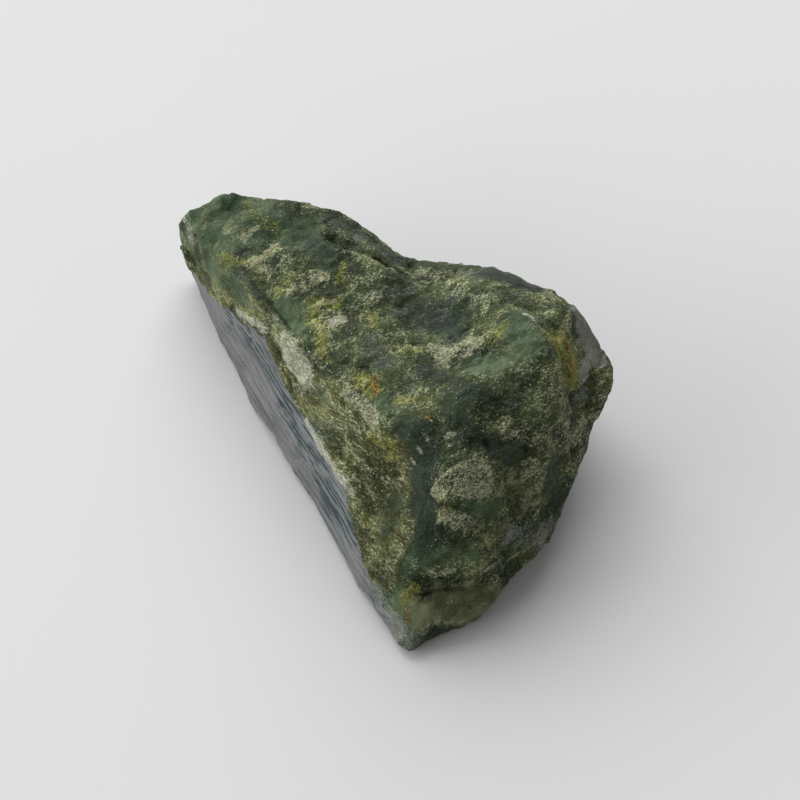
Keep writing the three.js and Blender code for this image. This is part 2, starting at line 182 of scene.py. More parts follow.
def scramble(cells: np.ndarray, seed: int) -> np.ndarray:
    """A repeatable whole number for each whole-number place.

    Args:
        cells: Whole-number places, three in each last row.
        seed: Which of the many fields is meant.

    Returns:
        Unsigned 32-bit numbers.
    """
    whole = cells.astype(np.int64).astype(np.uint32)
    mixed = whole[..., 0] * STIR[0] + whole[..., 1] * STIR[1] + whole[..., 2] * STIR[2]
    mixed = mixed + np.uint32(seed * int(STIR[3]) % 2**32)
    mixed = (mixed ^ (mixed >> np.uint32(15))) * STIR[2]
    mixed = (mixed ^ (mixed >> np.uint32(13))) * STIR[3]
    return mixed ^ (mixed >> np.uint32(16))


def chance(cells: np.ndarray, seed: int) -> np.ndarray:
    """Repeatable values from 0 to 1 for whole-number places, as scramble takes them."""
    return scramble(cells, seed).astype(np.float64) / 2.0**32


def drift(points: np.ndarray, wave: float, seed: int) -> np.ndarray:
    """Smooth noise.

    Args:
        points: Points in mm.
        wave: Distance between its humps, in mm.
        seed: Which field is meant.

    Returns:
        Values from -1 to 1.
    """
    scaled = points / wave
    base = np.floor(scaled)
    part = scaled - base
    fade = part**3 * (part * (part * 6 - 15) + 10)
    total = np.zeros(len(points))
    for corner in np.ndindex(2, 2, 2):
        weight = np.ones(len(points))
        for axis, side in enumerate(corner):
            weight = weight * (fade[:, axis] if side else 1 - fade[:, axis])
        total += weight * (2 * chance(base + np.array(corner), seed) - 1)
    return total


@dataclass(frozen=True)
class Ripple:
    """Smooth noise in several layers, each half as long as the one before.

    Attributes:
        wave: The longest layer's wave, in mm.
        seed: Which field is meant.
        layers: How many layers there are.
        fall: Height of each layer as a share of the one before.
        seed_step: From one layer's seed to the next.
    """

    wave: float
    seed: int
    layers: int = 3
    fall: float = 0.5
    seed_step: int = 17

    def at(self, points: np.ndarray) -> np.ndarray:
        """The noise at points.

        Args:
            points: Points in mm.

        Returns:
            Values from about -1 to 1.
        """
        total = np.zeros(len(points))
        height = 1.0
        whole = 0.0
        for layer in range(self.layers):
            total += height * drift(points, self.wave / 2**layer, self.seed + self.seed_step * layer)
            whole += height
            height *= self.fall
        return total / whole


@dataclass(frozen=True)
class Sway:
    """A soft random movement of points off their places.

    Attributes:
        wave: Wave of the movement, in mm.
        reach: How far a point moves at most, in mm.
        seed: Which field is meant.
    """

    wave: float
    reach: float
    seed: int

    def moved(self, points: np.ndarray) -> np.ndarray:
        """Returns points in mm, moved off their places."""
        moves = [Ripple(self.wave, self.seed + axis, layers=2).at(points) for axis in range(3)]
        return points + self.reach * np.stack(moves, axis=-1)


@dataclass(frozen=True)
class Fabric:
    """A direction in which the rock is drawn out, so that noise turns into streaks.

    Attributes:
        along: The direction of the streaks.
        stretch: How many times longer than wide they are.
    """

    along: Vec3
    stretch: float

    def squeezed(self, points: np.ndarray) -> np.ndarray:
        """Returns points in mm, drawn together along the streaks."""
        way = np.array(self.along) / np.linalg.norm(self.along)
        return points - (1 - 1 / self.stretch) * (points @ way)[:, None] * way


@dataclass
class Cells:
    """Random cells that fill space, as grains fill a rock.

    Attributes:
        nearest: Distance to the own cell's middle, as a share of the cell size.
        margin: How much farther the next middle is, as a share of the cell size.
        offset: From the own cell's middle to the point, in mm.
        name: The own cell's whole-number name.
    """

    nearest: np.ndarray
    margin: np.ndarray
    offset: np.ndarray
    name: np.ndarray

    @classmethod
    def around(cls, points: np.ndarray, size: float, seed: int) -> "Cells":
        """Finds each point's cell.

        Args:
            points: Points in mm.
            size: The cells' size in mm.
            seed: Which field is meant.

        Returns:
            The cells, one for each point.
        """
        scaled = points / size
        base = np.floor(scaled)
        first = np.full(len(points), np.inf)
        second = np.full(len(points), np.inf)
        offset = np.zeros_like(points)
        name = np.zeros_like(points)
        for step in np.ndindex(3, 3, 3):
            cell = base + np.array(step) - 1
            middle = cell + np.stack([chance(cell, seed + axis) for axis in range(3)], axis=-1)
            away = scaled - middle
            distance = np.linalg.norm(away, axis=1)
            closer = distance < first
            second = np.where(closer, first, np.minimum(second, distance))
            first = np.where(closer, distance, first)
            offset[closer] = away[closer] * size
            name[closer] = cell[closer]
        return cls(first, second - first, offset, name)

    def pick(self, seed: int) -> np.ndarray:
        """Returns one repeatable value from 0 to 1 for each cell."""
        return chance(self.name, seed)


# ---- Where each finish lies ----


class Tint(Enum):
    """What each point of the skin carries a share of: ten finishes, and four guides to the skin."""

    CHALK = "chalk"
    MOSS = "moss"
    RUST = "rust"
    JADE = "jade"
    SHADE = "shade"
    PALE = "pale"
    SLATE = "slate"
    ASH = "ash"
    HONEY = "honey"
    CREAM = "cream"
    # Where the breaks are held low, where the grains stand, where the flank lies, and painted shade.
    CALM = "calm"
    TOOTH = "tooth"
    FLANK = "flank"
    SHADE_PAINT = "gap"


# Name of the value on the mesh that tells hollows from edges: 0.5 is level, and more is hollow.
# The finish paints shade into the hollows by this value.
HOLLOW = "hollow"

Shares = dict[Tint, np.ndarray]
Cover = dict[Tint, Socket]


@dataclass(frozen=True)
class Stroke:
    """A patch of one tint, drawn as a brush stroke between two places in the main view.

    Attributes:
        name: What the patch is called.
        start: Place where the stroke starts.
        end: Place where it ends.
        width: Half of its width, in mm.
        strength: How much of the tint it brings, from 0 to 1.
    """

    name: str
    start: Place
    end: Place
    width: float
    strength: float


# Directions in which the rock is drawn out: on the top, on the flank and on the smooth side.
# The flank is the rough slope between the top and the smooth side.
TOP_ALONG: Vec3 = (0.80, 0.58, 0.10)
FLANK_ALONG: Vec3 = (0.56, -0.80, 0.16)
SIDE_ALONG: Vec3 = (0.41, -0.90, 0.10)
FLANK_OUTLINE: tuple[Place, ...] = (
    (206, 268), (236, 262), (261, 295), (282, 327), (307, 355), (324, 382), (350, 404), (378, 425),
    (412, 445), (419, 482), (416, 529), (404, 573), (400, 620), (393, 640), (330, 640), (170, 330),
)

STROKES = {
    # Pale, dry and granular.
    Tint.CHALK: (
        Stroke("far_streak", (268, 212), (247, 238), 0.3, 1.0),
        Stroke("far_cloud", (226, 228), (243, 233), 0.8, 0.4),
        Stroke("far_crust", (254, 262), (276, 246), 0.7, 0.75),
        Stroke("far_crust_foot", (252, 266), (266, 266), 0.45, 0.7),
        Stroke("top_dash", (296, 292), (328, 276), 0.5, 1.0),
        Stroke("top_dash_head", (278, 292), (286, 288), 0.5, 0.6),
        Stroke("flank_band_top", (264, 302), (292, 345), 0.4, 0.5),
        Stroke("flank_band", (284, 346), (308, 376), 1.3, 0.8),
        Stroke("flank_inner_band", (276, 338), (288, 352), 0.5, 0.7),
        Stroke("wedge", (347, 395), (372, 414), 0.85, 0.75),
        Stroke("wedge_foot", (371, 414), (379, 432), 0.5, 0.7),
        Stroke("flank_haze", (336, 422), (354, 450), 1.1, 0.5),
        Stroke("scarp_top", (436, 345), (460, 335), 0.7, 0.42),
        Stroke("scarp", (444, 354), (476, 345), 1.1, 0.64),
        Stroke("scarp_foot", (430, 350), (452, 364), 0.7, 0.42),
        Stroke("cream_end", (472, 346), (480, 343), 0.45, 0.9),
        Stroke("lobe_band", (424, 285), (488, 282), 0.9, 0.36),
        Stroke("lobe_band_foot", (440, 298), (470, 302), 0.9, 0.35),
        Stroke("lobe_corner", (414, 272), (434, 274), 0.8, 0.62),
        Stroke("lobe_rim", (470, 298), (505, 299), 0.4, 0.4),
        Stroke("plate", (452, 482), (486, 474), 1.7, 0.59),
        Stroke("plate_rim", (437, 494), (450, 472), 0.55, 0.55),
        Stroke("plate_foot", (468, 492), (486, 488), 0.5, 0.8),
        Stroke("plate_top", (462, 462), (496, 461), 0.7, 0.36),
        Stroke("lump", (444, 518), (460, 521), 1.1, 0.74),
        Stroke("lip_left", (426, 576), (454, 570), 0.42, 0.7),
        Stroke("lip_right", (478, 576), (497, 561), 0.36, 0.7),
        Stroke("flank_fleck", (384, 478), (390, 494), 0.35, 0.75),
        Stroke("flank_fleck_left", (368, 488), (374, 500), 0.4, 0.45),
        Stroke("shadow_crust", (506, 500), (530, 462), 1.1, 0.42),
        Stroke("front_crust", (505, 424), (530, 440), 0.9, 0.5),
        Stroke("front_crust_low", (528, 470), (544, 462), 0.7, 0.45),
        Stroke("right_crust", (560, 420), (584, 434), 1.4, 0.6),
        Stroke("right_crust_low", (560, 446), (570, 452), 0.9, 0.35),
        Stroke("fin_foot", (592, 408), (598, 424), 0.5, 0.45),
        Stroke("hollow_left", (374, 296), (398, 304), 1.2, 0.5),
    ),
    # Small crisp flakes.
    Tint.CREAM: (
        Stroke("dash_flake", (299, 290), (328, 277), 0.34, 1.0),
        Stroke("top_flake", (332, 325), (340, 320), 0.5, 1.0),
        Stroke("crust_flake", (256, 258), (272, 248), 0.42, 1.0),
        Stroke("crust_flake_foot", (252, 265), (262, 264), 0.25, 0.9),
        Stroke("foot_flake", (279, 293), (288, 288), 0.3, 0.9),
        Stroke("streak_flake", (266, 214), (250, 234), 0.18, 0.9),
        Stroke("moss_flake", (318, 303), (330, 302), 0.35, 0.85),
        Stroke("moss_flake_low", (314, 322), (318, 332), 0.25, 0.85),
        Stroke("cream_flake", (392, 352), (404, 347), 0.24, 0.6),
        Stroke("cream_flake_right", (408, 346), (414, 352), 0.2, 0.6),
        Stroke("slope_flake", (370, 314), (374, 322), 0.22, 0.85),
        Stroke("knot_flake", (362, 386), (366, 380), 0.22, 0.7),
    ),
    # Yellow-green to ochre, granular.
    Tint.MOSS: (
        Stroke("top_moss", (316, 302), (334, 304), 0.8, 0.85),
        Stroke("top_moss_middle", (312, 318), (320, 336), 0.65, 0.75),
        Stroke("top_moss_foot", (320, 344), (330, 360), 0.5, 0.7),
        Stroke("top_fleck", (346, 262), (342, 282), 0.45, 0.7),
        Stroke("top_fleck_right", (369, 312), (375, 324), 0.45, 0.8),
        Stroke("far_moss", (224, 256), (262, 264), 0.5, 0.8),
        Stroke("far_moss_top", (246, 204), (250, 214), 1.2, 0.4),
        Stroke("far_olive", (262, 220), (280, 230), 0.9, 0.55),
        Stroke("far_bevel", (190, 256), (202, 280), 0.6, 0.45),
        Stroke("dash_moss", (278, 294), (305, 262), 0.5, 0.6),
        Stroke("dash_foot", (277, 292), (290, 288), 0.45, 0.8),
        Stroke("cream_moss", (387, 352), (414, 350), 0.8, 0.52),
        Stroke("knot", (362, 380), (374, 390), 0.9, 0.9),
        Stroke("corner_moss", (400, 402), (428, 396), 0.5, 0.65),
        Stroke("corner_knot", (416, 416), (428, 418), 0.5, 0.7),
        Stroke("crown_knot", (469, 378), (474, 379), 0.35, 0.8),
        Stroke("crown_knot_left", (438, 388), (446, 384), 0.35, 0.7),
        Stroke("crown_edge", (490, 345), (508, 322), 0.6, 0.6),
        Stroke("crown_far_edge", (512, 300), (548, 299), 0.45, 0.6),
        Stroke("right_moss", (560, 345), (574, 373), 2.0, 0.9),
        Stroke("flank_moss", (374, 432), (392, 450), 1.0, 0.65),
        Stroke("flank_moss_middle", (340, 430), (350, 440), 0.5, 0.6),
        Stroke("flank_moss_low", (365, 512), (368, 522), 0.45, 0.6),
        Stroke("flank_moss_right", (398, 530), (386, 548), 0.6, 0.45),
        Stroke("bench_moss", (406, 598), (416, 584), 0.6, 0.85),
        Stroke("lip_moss", (488, 543), (506, 532), 0.8, 0.6),
        Stroke("plate_moss", (441, 492), (462, 460), 0.8, 0.34),
        Stroke("lump_moss", (438, 524), (446, 508), 0.8, 0.8),
        Stroke("bench_shine", (412, 600), (420, 592), 0.8, 0.45),
        Stroke("lobe_moss", (424, 272), (455, 274), 0.7, 0.4),
        Stroke("front_moss", (478, 412), (470, 420), 0.6, 0.45),
        Stroke("brow_moss", (226, 298), (262, 322), 0.5, 0.5),
    ),
    # Small orange-brown stains.
    Tint.RUST: (
        Stroke("right_stain", (565, 344), (570, 346), 0.45, 0.75),
        Stroke("right_glow", (562, 352), (573, 371), 1.3, 0.1),
        Stroke("right_stain_foot", (566, 366), (573, 372), 0.6, 0.55),
        Stroke("knot_stain", (374, 380), (377, 392), 0.5, 0.8),
        Stroke("corner_stain", (423, 418), (428, 419), 0.28, 0.9),
        Stroke("tip_stain", (406, 623), (410, 604), 0.3, 0.7),
        Stroke("cream_stain", (474, 346), (478, 344), 0.3, 0.5),
        Stroke("ridge_stain", (376, 428), (372, 448), 0.35, 0.5),
        Stroke("lip_stain", (494, 540), (502, 536), 0.3, 0.5),
        Stroke("bench_stain", (456, 588), (492, 590), 0.8, 0.4),
        Stroke("crust_stain", (252, 246), (255, 249), 0.2, 0.5),
    ),
    # Clear waxy green.
    Tint.JADE: (
        Stroke("flank_band_under", (316, 388), (326, 402), 0.8, 0.5),
        Stroke("far_end", (196, 216), (240, 232), 2.4, 0.9),
        Stroke("far_top", (222, 202), (262, 206), 1.2, 0.7),
        Stroke("far_end_right", (262, 215), (296, 230), 1.5, 0.85),
        Stroke("top_window", (286, 300), (296, 328), 1.4, 0.95),
        Stroke("top_window_right", (300, 232), (330, 262), 1.6, 0.75),
        Stroke("top_glow", (340, 344), (350, 368), 1.1, 0.2),
        Stroke("top_centre", (372, 396), (392, 408), 1.2, 0.6),
        Stroke("corner_window", (444, 402), (462, 418), 1.2, 0.6),
        Stroke("crown", (514, 324), (528, 346), 1.5, 0.85),
        Stroke("crown_foot", (480, 362), (500, 364), 1.2, 0.8),
        Stroke("crown_low", (505, 385), (530, 395), 1.5, 0.35),
        Stroke("shoulder", (208, 264), (238, 292), 1.3, 0.75),
        Stroke("shoulder_foot", (240, 296), (256, 312), 0.6, 0.5),
        Stroke("tip_green", (396, 618), (414, 642), 1.4, 0.95),
        Stroke("lump_window", (470, 505), (492, 512), 1.0, 0.95),
        Stroke("ridge_window", (404, 592), (414, 562), 0.9, 1.0),
        Stroke("ridge_window_top", (418, 550), (440, 556), 0.9, 0.9),
        Stroke("front_window", (455, 552), (474, 556), 0.8, 0.7),
        Stroke("flank_foot_green", (382, 592), (398, 622), 0.7, 0.7),
        Stroke("lobe_window_green", (488, 276), (506, 280), 0.9, 0.3),
        Stroke("ridge_band_green", (426, 505), (424, 545), 0.7, 0.6),
        Stroke("flank_low_green", (398, 498), (386, 536), 1.1, 0.5),
    ),
    # Smooth olive brown.
    Tint.HONEY: (
        Stroke("front_brown", (505, 480), (530, 500), 1.6, 0.5),
        Stroke("front_brown_low", (484, 530), (508, 552), 1.4, 0.5),
        Stroke("bench", (424, 612), (482, 604), 1.5, 1.0),
        Stroke("bench_right", (470, 612), (496, 592), 1.0, 0.9),
        Stroke("bench_under", (436, 592), (470, 590), 0.8, 0.8),
        Stroke("far_end_olive", (206, 220), (240, 224), 1.8, 0.36),
        Stroke("far_end_olive_foot", (192, 238), (200, 250), 0.9, 0.4),
    ),
    # Dark blue-green, smooth; on the smooth side, the dark streaky band.
    Tint.SHADE: (
        Stroke("far_strip", (326, 216), (396, 256), 1.0, 0.6),
        Stroke("far_mid_shade", (300, 236), (322, 250), 1.1, 0.55),
        Stroke("far_notch", (250, 252), (242, 252), 0.6, 0.6),
        Stroke("hollow", (404, 304), (448, 316), 2.4, 0.66),
        Stroke("hollow_foot", (447, 318), (452, 338), 1.1, 1.0),
        Stroke("lobe_window", (488, 274), (528, 285), 1.4, 1.0),
        Stroke("top_shade", (368, 340), (384, 364), 1.1, 0.6),
        Stroke("crown_under", (470, 390), (530, 412), 1.2, 0.4),
        Stroke("corner", (410, 424), (424, 452), 1.3, 1.0),
        Stroke("ridge_band", (422, 458), (428, 535), 1.2, 1.0),
        Stroke("ridge_band_foot", (427, 530), (420, 550), 0.9, 0.5),
        Stroke("front_hollow", (496, 448), (510, 456), 1.2, 0.95),
        Stroke("front_hollow_top", (470, 436), (490, 442), 1.0, 0.7),
        Stroke("front_right", (552, 462), (564, 515), 1.4, 0.75),
        Stroke("front_low", (522, 526), (545, 540), 1.6, 0.12),
        Stroke("flank_shade", (312, 418), (330, 440), 1.0, 0.45),
        Stroke("scarp_under", (426, 370), (452, 380), 1.0, 0.45),
        Stroke("top_mid_shade", (392, 376), (410, 386), 0.9, 0.5),
        Stroke("crown_mid_shade", (462, 392), (482, 398), 1.0, 0.5),
        Stroke("hollow_right", (438, 320), (450, 330), 1.1, 1.0),
        Stroke("corner_window_shade", (444, 404), (460, 416), 1.0, 0.45),
        Stroke("crease_shade", (240, 272), (262, 300), 0.7, 0.7),
        Stroke("brow_shade", (236, 280), (246, 294), 0.8, 0.4),
        Stroke("dark_facet_shade", (575, 398), (590, 392), 0.9, 0.5),
        Stroke("face_band_top", (232, 312), (290, 404), 0.95, 0.72),
        Stroke("face_band", (288, 404), (325, 480), 1.4, 0.9),
        Stroke("face_band_foot", (325, 480), (346, 530), 1.7, 1.0),
        Stroke("face_low", (356, 560), (374, 604), 0.4, 0.5),
        # Painted shadow: the underside below the bench's pale rim.
        Stroke("bench_underside", (430, 637), (474, 623), 0.45, 1.0),
    ),
    # Plain grey; on the facet at the right, the low front, the hollow and the tip, painted sheen.
    Tint.ASH: (
        Stroke("tip", (396, 622), (412, 644), 1.3, 0.6),
        Stroke("flank_foot", (376, 588), (398, 628), 0.9, 0.55),
        Stroke("far_strip_grey", (344, 228), (384, 250), 0.8, 0.35),
        Stroke("far_slope", (340, 244), (362, 250), 0.7, 0.35),
        Stroke("hollow_grey", (412, 306), (440, 314), 1.4, 0.34),
        Stroke("front_low_grey", (512, 538), (545, 536), 1.7, 0.54),
        Stroke("dark_facet", (576, 397), (592, 391), 0.8, 0.5),
        Stroke("grey_facet", (582, 322), (597, 358), 1.2, 1.0),
        Stroke("grey_facet_top", (575, 312), (582, 326), 0.8, 0.9),
        Stroke("grey_facet_foot", (586, 366), (580, 378), 0.7, 0.9),
    ),
    # Cloudy white edges and crystals; at the two thin tips partly painted glow of light through the
    # edge.
    Tint.PALE: (
        # Partly painted glow of light through the thin far tip.
        Stroke("far_tip_haze", (184, 214), (192, 238), 0.8, 0.6),
        Stroke("top_dash_core", (300, 289), (325, 279), 0.25, 0.7),
        Stroke("flank_band_haze", (268, 308), (294, 348), 0.45, 0.4),
        Stroke("flank_band_core", (286, 350), (306, 374), 1.3, 1.0),
        Stroke("ridge_window_haze", (405, 580), (413, 562), 0.6, 0.45),
        Stroke("brow_cloud", (236, 310), (266, 332), 0.55, 0.9),
        Stroke("top_spot", (331, 324), (340, 321), 0.42, 1.0),
        Stroke("face_bevel", (304, 420), (320, 446), 0.45, 0.8),
        Stroke("face_bevel_foot", (322, 448), (350, 492), 0.62, 0.85),
        Stroke("crystals", (423, 434), (426, 440), 0.2, 1.0),
        Stroke("crystals_middle", (417, 449), (422, 457), 0.2, 1.0),
        Stroke("crystals_foot", (412, 461), (415, 466), 0.18, 1.0),
        Stroke("crystals_right", (446, 439), (455, 436), 0.28, 0.9),
        Stroke("crown_line", (522, 316), (537, 323), 0.16, 1.0),
        Stroke("crest_line", (528, 303), (550, 307), 0.13, 0.7),
        Stroke("facet_line", (572, 388), (604, 366), 0.14, 0.9),
        # Painted highlight: the lit top of the thin sliver at the far strip's end.
        Stroke("sliver", (409, 269), (418, 278), 0.14, 0.9),
        # Partly painted glow of light through the thin tip.
        Stroke("tip_cloud", (400, 636), (424, 628), 0.5, 0.5),
        Stroke("bench_edge", (428, 627), (468, 617), 0.2, 0.6),
    ),
    # Painted shade: regions darkened evenly, as shade that the lamps do not cast.
    Tint.SHADE_PAINT: (
        Stroke("top_dirt", (430, 372), (450, 380), 1.2, 0.52),
        Stroke("top_dirt_left", (398, 378), (404, 382), 0.8, 0.15),
        Stroke("glow_dirt", (344, 352), (352, 364), 1.0, 0.48),
        Stroke("hollow_dirt", (444, 322), (450, 330), 0.8, 0.6),
        Stroke("lobe_dirt", (490, 276), (524, 286), 1.0, 0.8),
        Stroke("corner_dirt", (444, 404), (458, 416), 0.9, 0.38),
        Stroke("flank_dirt", (394, 506), (388, 534), 1.0, 0.5),
        Stroke("flank_dirt_foot", (388, 556), (382, 574), 0.8, 0.5),
        Stroke("band_dirt", (312, 390), (322, 402), 0.8, 0.34),
        Stroke("crown_dirt", (494, 366), (504, 376), 0.9, 0.14),
        Stroke("far_dirt", (304, 236), (316, 244), 1.0, 0.18),
        Stroke("bench_dirt", (432, 637), (474, 624), 0.35, 0.5),
    ),
    # Skin that is less broken than the rest.
    Tint.CALM: (
        Stroke("top_calm", (343, 333), (374, 339), 1.1, 1.0),
        Stroke("shoulder_calm", (202, 262), (238, 298), 1.5, 0.6),
        Stroke("tip_calm", (396, 620), (414, 644), 1.5, 0.8),
        Stroke("bench_calm", (426, 612), (490, 600), 1.2, 0.7),
    ),
}


@dataclass(frozen=True)
class SmoothSide:
    """The smooth side of the stone: one long plane, found by the way it faces and its upper edge.

    Attributes:
        facing: Its outward direction.
        least: Agreement with that direction at which the smooth side starts.
        full: Agreement at which it is in full.
        outline: Its upper edge as places in the main view, closed round its outer side.
        soft: Width of the blend at its upper edge, in mm.
        streaks: How its long streaks run.
        lines: The noise of its fine lines.
        line_rise: Their height, in mm.
        ledges: The noise of its low ledges.
        ledge_rise: Height of a ledge as a share of a line's.
        ledge_count: How many ledges lie between the lowest and the middle.
    """

    facing: Vec3 = (-0.90, -0.41, 0.12)
    least: float = 0.25
    full: float = 0.55
    outline: tuple[Place, ...] = (
        (196, 276), (215, 298), (240, 318), (262, 338), (276, 362), (290, 392), (303, 415),
        (318, 440), (335, 468), (350, 500), (357, 540), (365, 570), (380, 600), (391, 622),
        (399, 640), (392, 672), (330, 640), (170, 330), (180, 272),
    )
    soft: float = 0.3
    streaks: Fabric = Fabric(SIDE_ALONG, 14.0)
    lines: Ripple = Ripple(0.8, 301, layers=2, fall=0.6)
    line_rise: float = 0.02
    ledges: Ripple = Ripple(2.6, 311, layers=2)
    ledge_rise: float = 1.2
    ledge_count: int = 3

    def share(self, normals: np.ndarray, inside: np.ndarray) -> np.ndarray:
        """How much of the smooth side is at each point.

        Args:
            normals: Outward unit vectors of the worn skin.
            inside: Signed distances into the outline, in mm.

        Returns:
            Shares from 0 to 1.
        """
        facing = np.array(self.facing)
        agree = smooth(normals @ (facing / np.linalg.norm(facing)), self.least, self.full)
        return agree * smooth(inside, -self.soft, self.soft)

    def heights(self, points: np.ndarray) -> np.ndarray:
        """Returns the heights of the long fine streaks at points, all in mm."""
        drawn = self.streaks.squeezed(points)
        ledges = np.floor(self.ledges.at(drawn) * self.ledge_count) / self.ledge_count
        return self.line_rise * self.lines.at(drawn) + self.ledge_rise * self.line_rise * ledges


# ---- Forms that are cut into the skin ----


@dataclass(frozen=True)
class Flat:
    """A flat break: the skin inside an outline is drawn onto one plane.

    Attributes:
        name: What the flat is called.
        outline: Its corners as places in the main view, in order.
        hold: Share of the plane's shape that is taken, from 0 to 1.
        soft: Width of the blend at the outline, in mm.
    """

    name: str
    outline: tuple[Place, ...]
    hold: float
    soft: float


@dataclass(frozen=True)
class Plateau:
    """A scab of rock that stands proud of the skin inside an outline.

    Attributes:
        name: What it is called.
        outline: Its corners as places in the main view, in order.
        rise: Height of its edge, in mm; under 0 it is a shallow pan.
        soft: Width of its edge, in mm.
        back_fade: Distance over which it dies away from its crisp side, in mm.
        crisp_side: Direction in the main view, across and down, in which the crisp side lies.
    """

    name: str
    outline: tuple[Place, ...]
    rise: float
    soft: float
    back_fade: float
    crisp_side: Place


@dataclass(frozen=True)
class Crack:
    """An open crack along a line of places in the main view.

    Attributes:
        name: What it is called.
        line: Its places, in order.
        start_width: Half of its width where it starts, in mm.
        end_width: Half of its width where it ends, in mm.
        depth: Its depth, in mm.
        shade: How dark its inside is painted, from 0 to 1: painted shade in the crack.
    """

    name: str
    line: tuple[Place, ...]
    start_width: float
    end_width: float
    depth: float
    shade: float

    def width(self, share: float) -> float:
        """Returns half of its width in mm, at a share of its length."""
        return self.start_width + (self.end_width - self.start_width) * share


@dataclass(frozen=True)
class Nudge:
    """A soft local push of the skin.

    Attributes:
        name: What it is called.
        place: Its middle as a place in the main view.
        reach: Distance over which it dies away, in mm.
        move: The push in mm.
    """

    name: str
    place: Place
    reach: float
    move: Vec3


NUDGES = (
    Nudge("strip_corner", (410, 263), 0.8, (0.0, -0.15, -0.5)),
    Nudge("lobe_notch", (540, 290), 0.8, (-0.05, -0.15, -0.35)),
    Nudge("strip_step", (355, 225), 0.9, (0.0, -0.1, -0.2)),
    Nudge("fin_waist", (597, 414), 1.3, (0.2, 0.0, 0.0)),
    Nudge("fin_top", (604, 350), 1.0, (-0.15, 0.0, -0.1)),
    Nudge("lobe_hump", (494, 273), 1.3, (0.0, 0.25, 0.3)),
    Nudge("right_foot", (558, 513), 1.5, (-0.4, 0.3, 0.0)),
    Nudge("front_foot", (514, 562), 1.6, (-0.35, 0.35, 0.0)),
)

FLATS = (
    Flat(
        "grey_facet",
        ((572, 306), (590, 322), (606, 352), (603, 367), (590, 377), (574, 388), (577, 360), (572, 333)),
        hold=0.9, soft=0.25,
    ),
    Flat(
        "dark_facet", ((570, 393), (585, 384), (596, 376), (597, 392), (588, 407), (572, 405)),
        hold=0.85, soft=0.25,
    ),
    Flat(
        "bench", ((424, 606), (452, 596), (490, 596), (500, 600), (480, 614), (430, 626)),
        hold=0.6, soft=0.4,
    ),
    Flat(
        "hollow", ((400, 300), (425, 292), (452, 300), (455, 325), (430, 330), (405, 322)),
        hold=0.5, soft=0.6,
    ),
    Flat(
        "lobe_window", ((480, 270), (510, 272), (536, 290), (510, 292), (485, 286)),
        hold=0.6, soft=0.4,
    ),
)

PLATEAUS = (
    Plateau(
        "plate",
        (
            (432, 491), (441, 478), (455, 466), (470, 454), (486, 452), (503, 463),
            (503, 482), (490, 500), (472, 506), (455, 503), (441, 501),
        ),
        rise=0.8, soft=0.22, back_fade=3.5, crisp_side=(-0.8, 0.6),
    ),
    Plateau(
        "lump", ((436, 528), (440, 512), (452, 505), (466, 512), (466, 530), (452, 542), (440, 540)),
        rise=0.6, soft=0.25, back_fade=2.0, crisp_side=(-0.9, 0.3),
    ),
    Plateau(
        "lip_left", ((410, 588), (420, 574), (442, 566), (462, 566), (458, 578), (440, 584), (424, 594)),
        rise=0.25, soft=0.2, back_fade=1.6, crisp_side=(0.2, 1.0),
    ),
    Plateau(
        "lip_right", ((468, 582), (480, 570), (500, 552), (510, 556), (500, 574), (484, 586)),
        rise=0.25, soft=0.2, back_fade=1.6, crisp_side=(0.4, 1.0),
    ),
    Plateau(
        "chalk_band",
        ((262, 300), (290, 330), (314, 366), (322, 392), (300, 384), (286, 362), (276, 338)),
        rise=0.22, soft=0.2, back_fade=2.0, crisp_side=(-0.8, 0.5),
    ),
    Plateau(
        "crown", ((500, 318), (522, 310), (545, 322), (545, 360), (530, 378), (500, 372), (490, 345)),
        rise=0.25, soft=1.2, back_fade=6.0, crisp_side=(0.3, -1.0),
    ),
    Plateau(
        "scarp", ((428, 346), (446, 330), (470, 322), (488, 336), (480, 352), (452, 366), (434, 362)),
        rise=0.25, soft=0.5, back_fade=3.0, crisp_side=(-0.6, -0.9),
    ),
    Plateau(
        "far_strip",
        ((322, 222), (345, 240), (380, 257), (405, 270), (420, 282), (412, 262), (380, 236), (340, 212)),
        rise=-0.6, soft=0.3, back_fade=2.0, crisp_side=(-0.4, 1.0),
    ),
    Plateau(
        "dash", ((290, 296), (330, 282), (334, 274), (318, 274), (292, 286)),
        rise=0.12, soft=0.15, back_fade=2.0, crisp_side=(-0.5, 0.8),
    ),
    Plateau(
        "block_upper", ((506, 470), (520, 462), (532, 474), (526, 492), (510, 496)),
        rise=0.45, soft=0.25, back_fade=2.5, crisp_side=(-0.7, 0.7),
    ),
    Plateau(
        "block_lower", ((482, 532), (498, 520), (513, 530), (508, 548), (488, 550)),
        rise=0.45, soft=0.25, back_fade=2.5, crisp_side=(-0.8, 0.6),
    ),
    Plateau(
        "block_right", ((528, 440), (545, 434), (558, 450), (547, 466), (530, 460)),
        rise=0.35, soft=0.3, back_fade=2.5, crisp_side=(-0.8, 0.4),
    ),
    Plateau(
        "front_pan", ((484, 440), (512, 430), (522, 452), (510, 466), (492, 462)),
        rise=-0.45, soft=0.4, back_fade=3.0, crisp_side=(-0.5, -0.8),
    ),
)

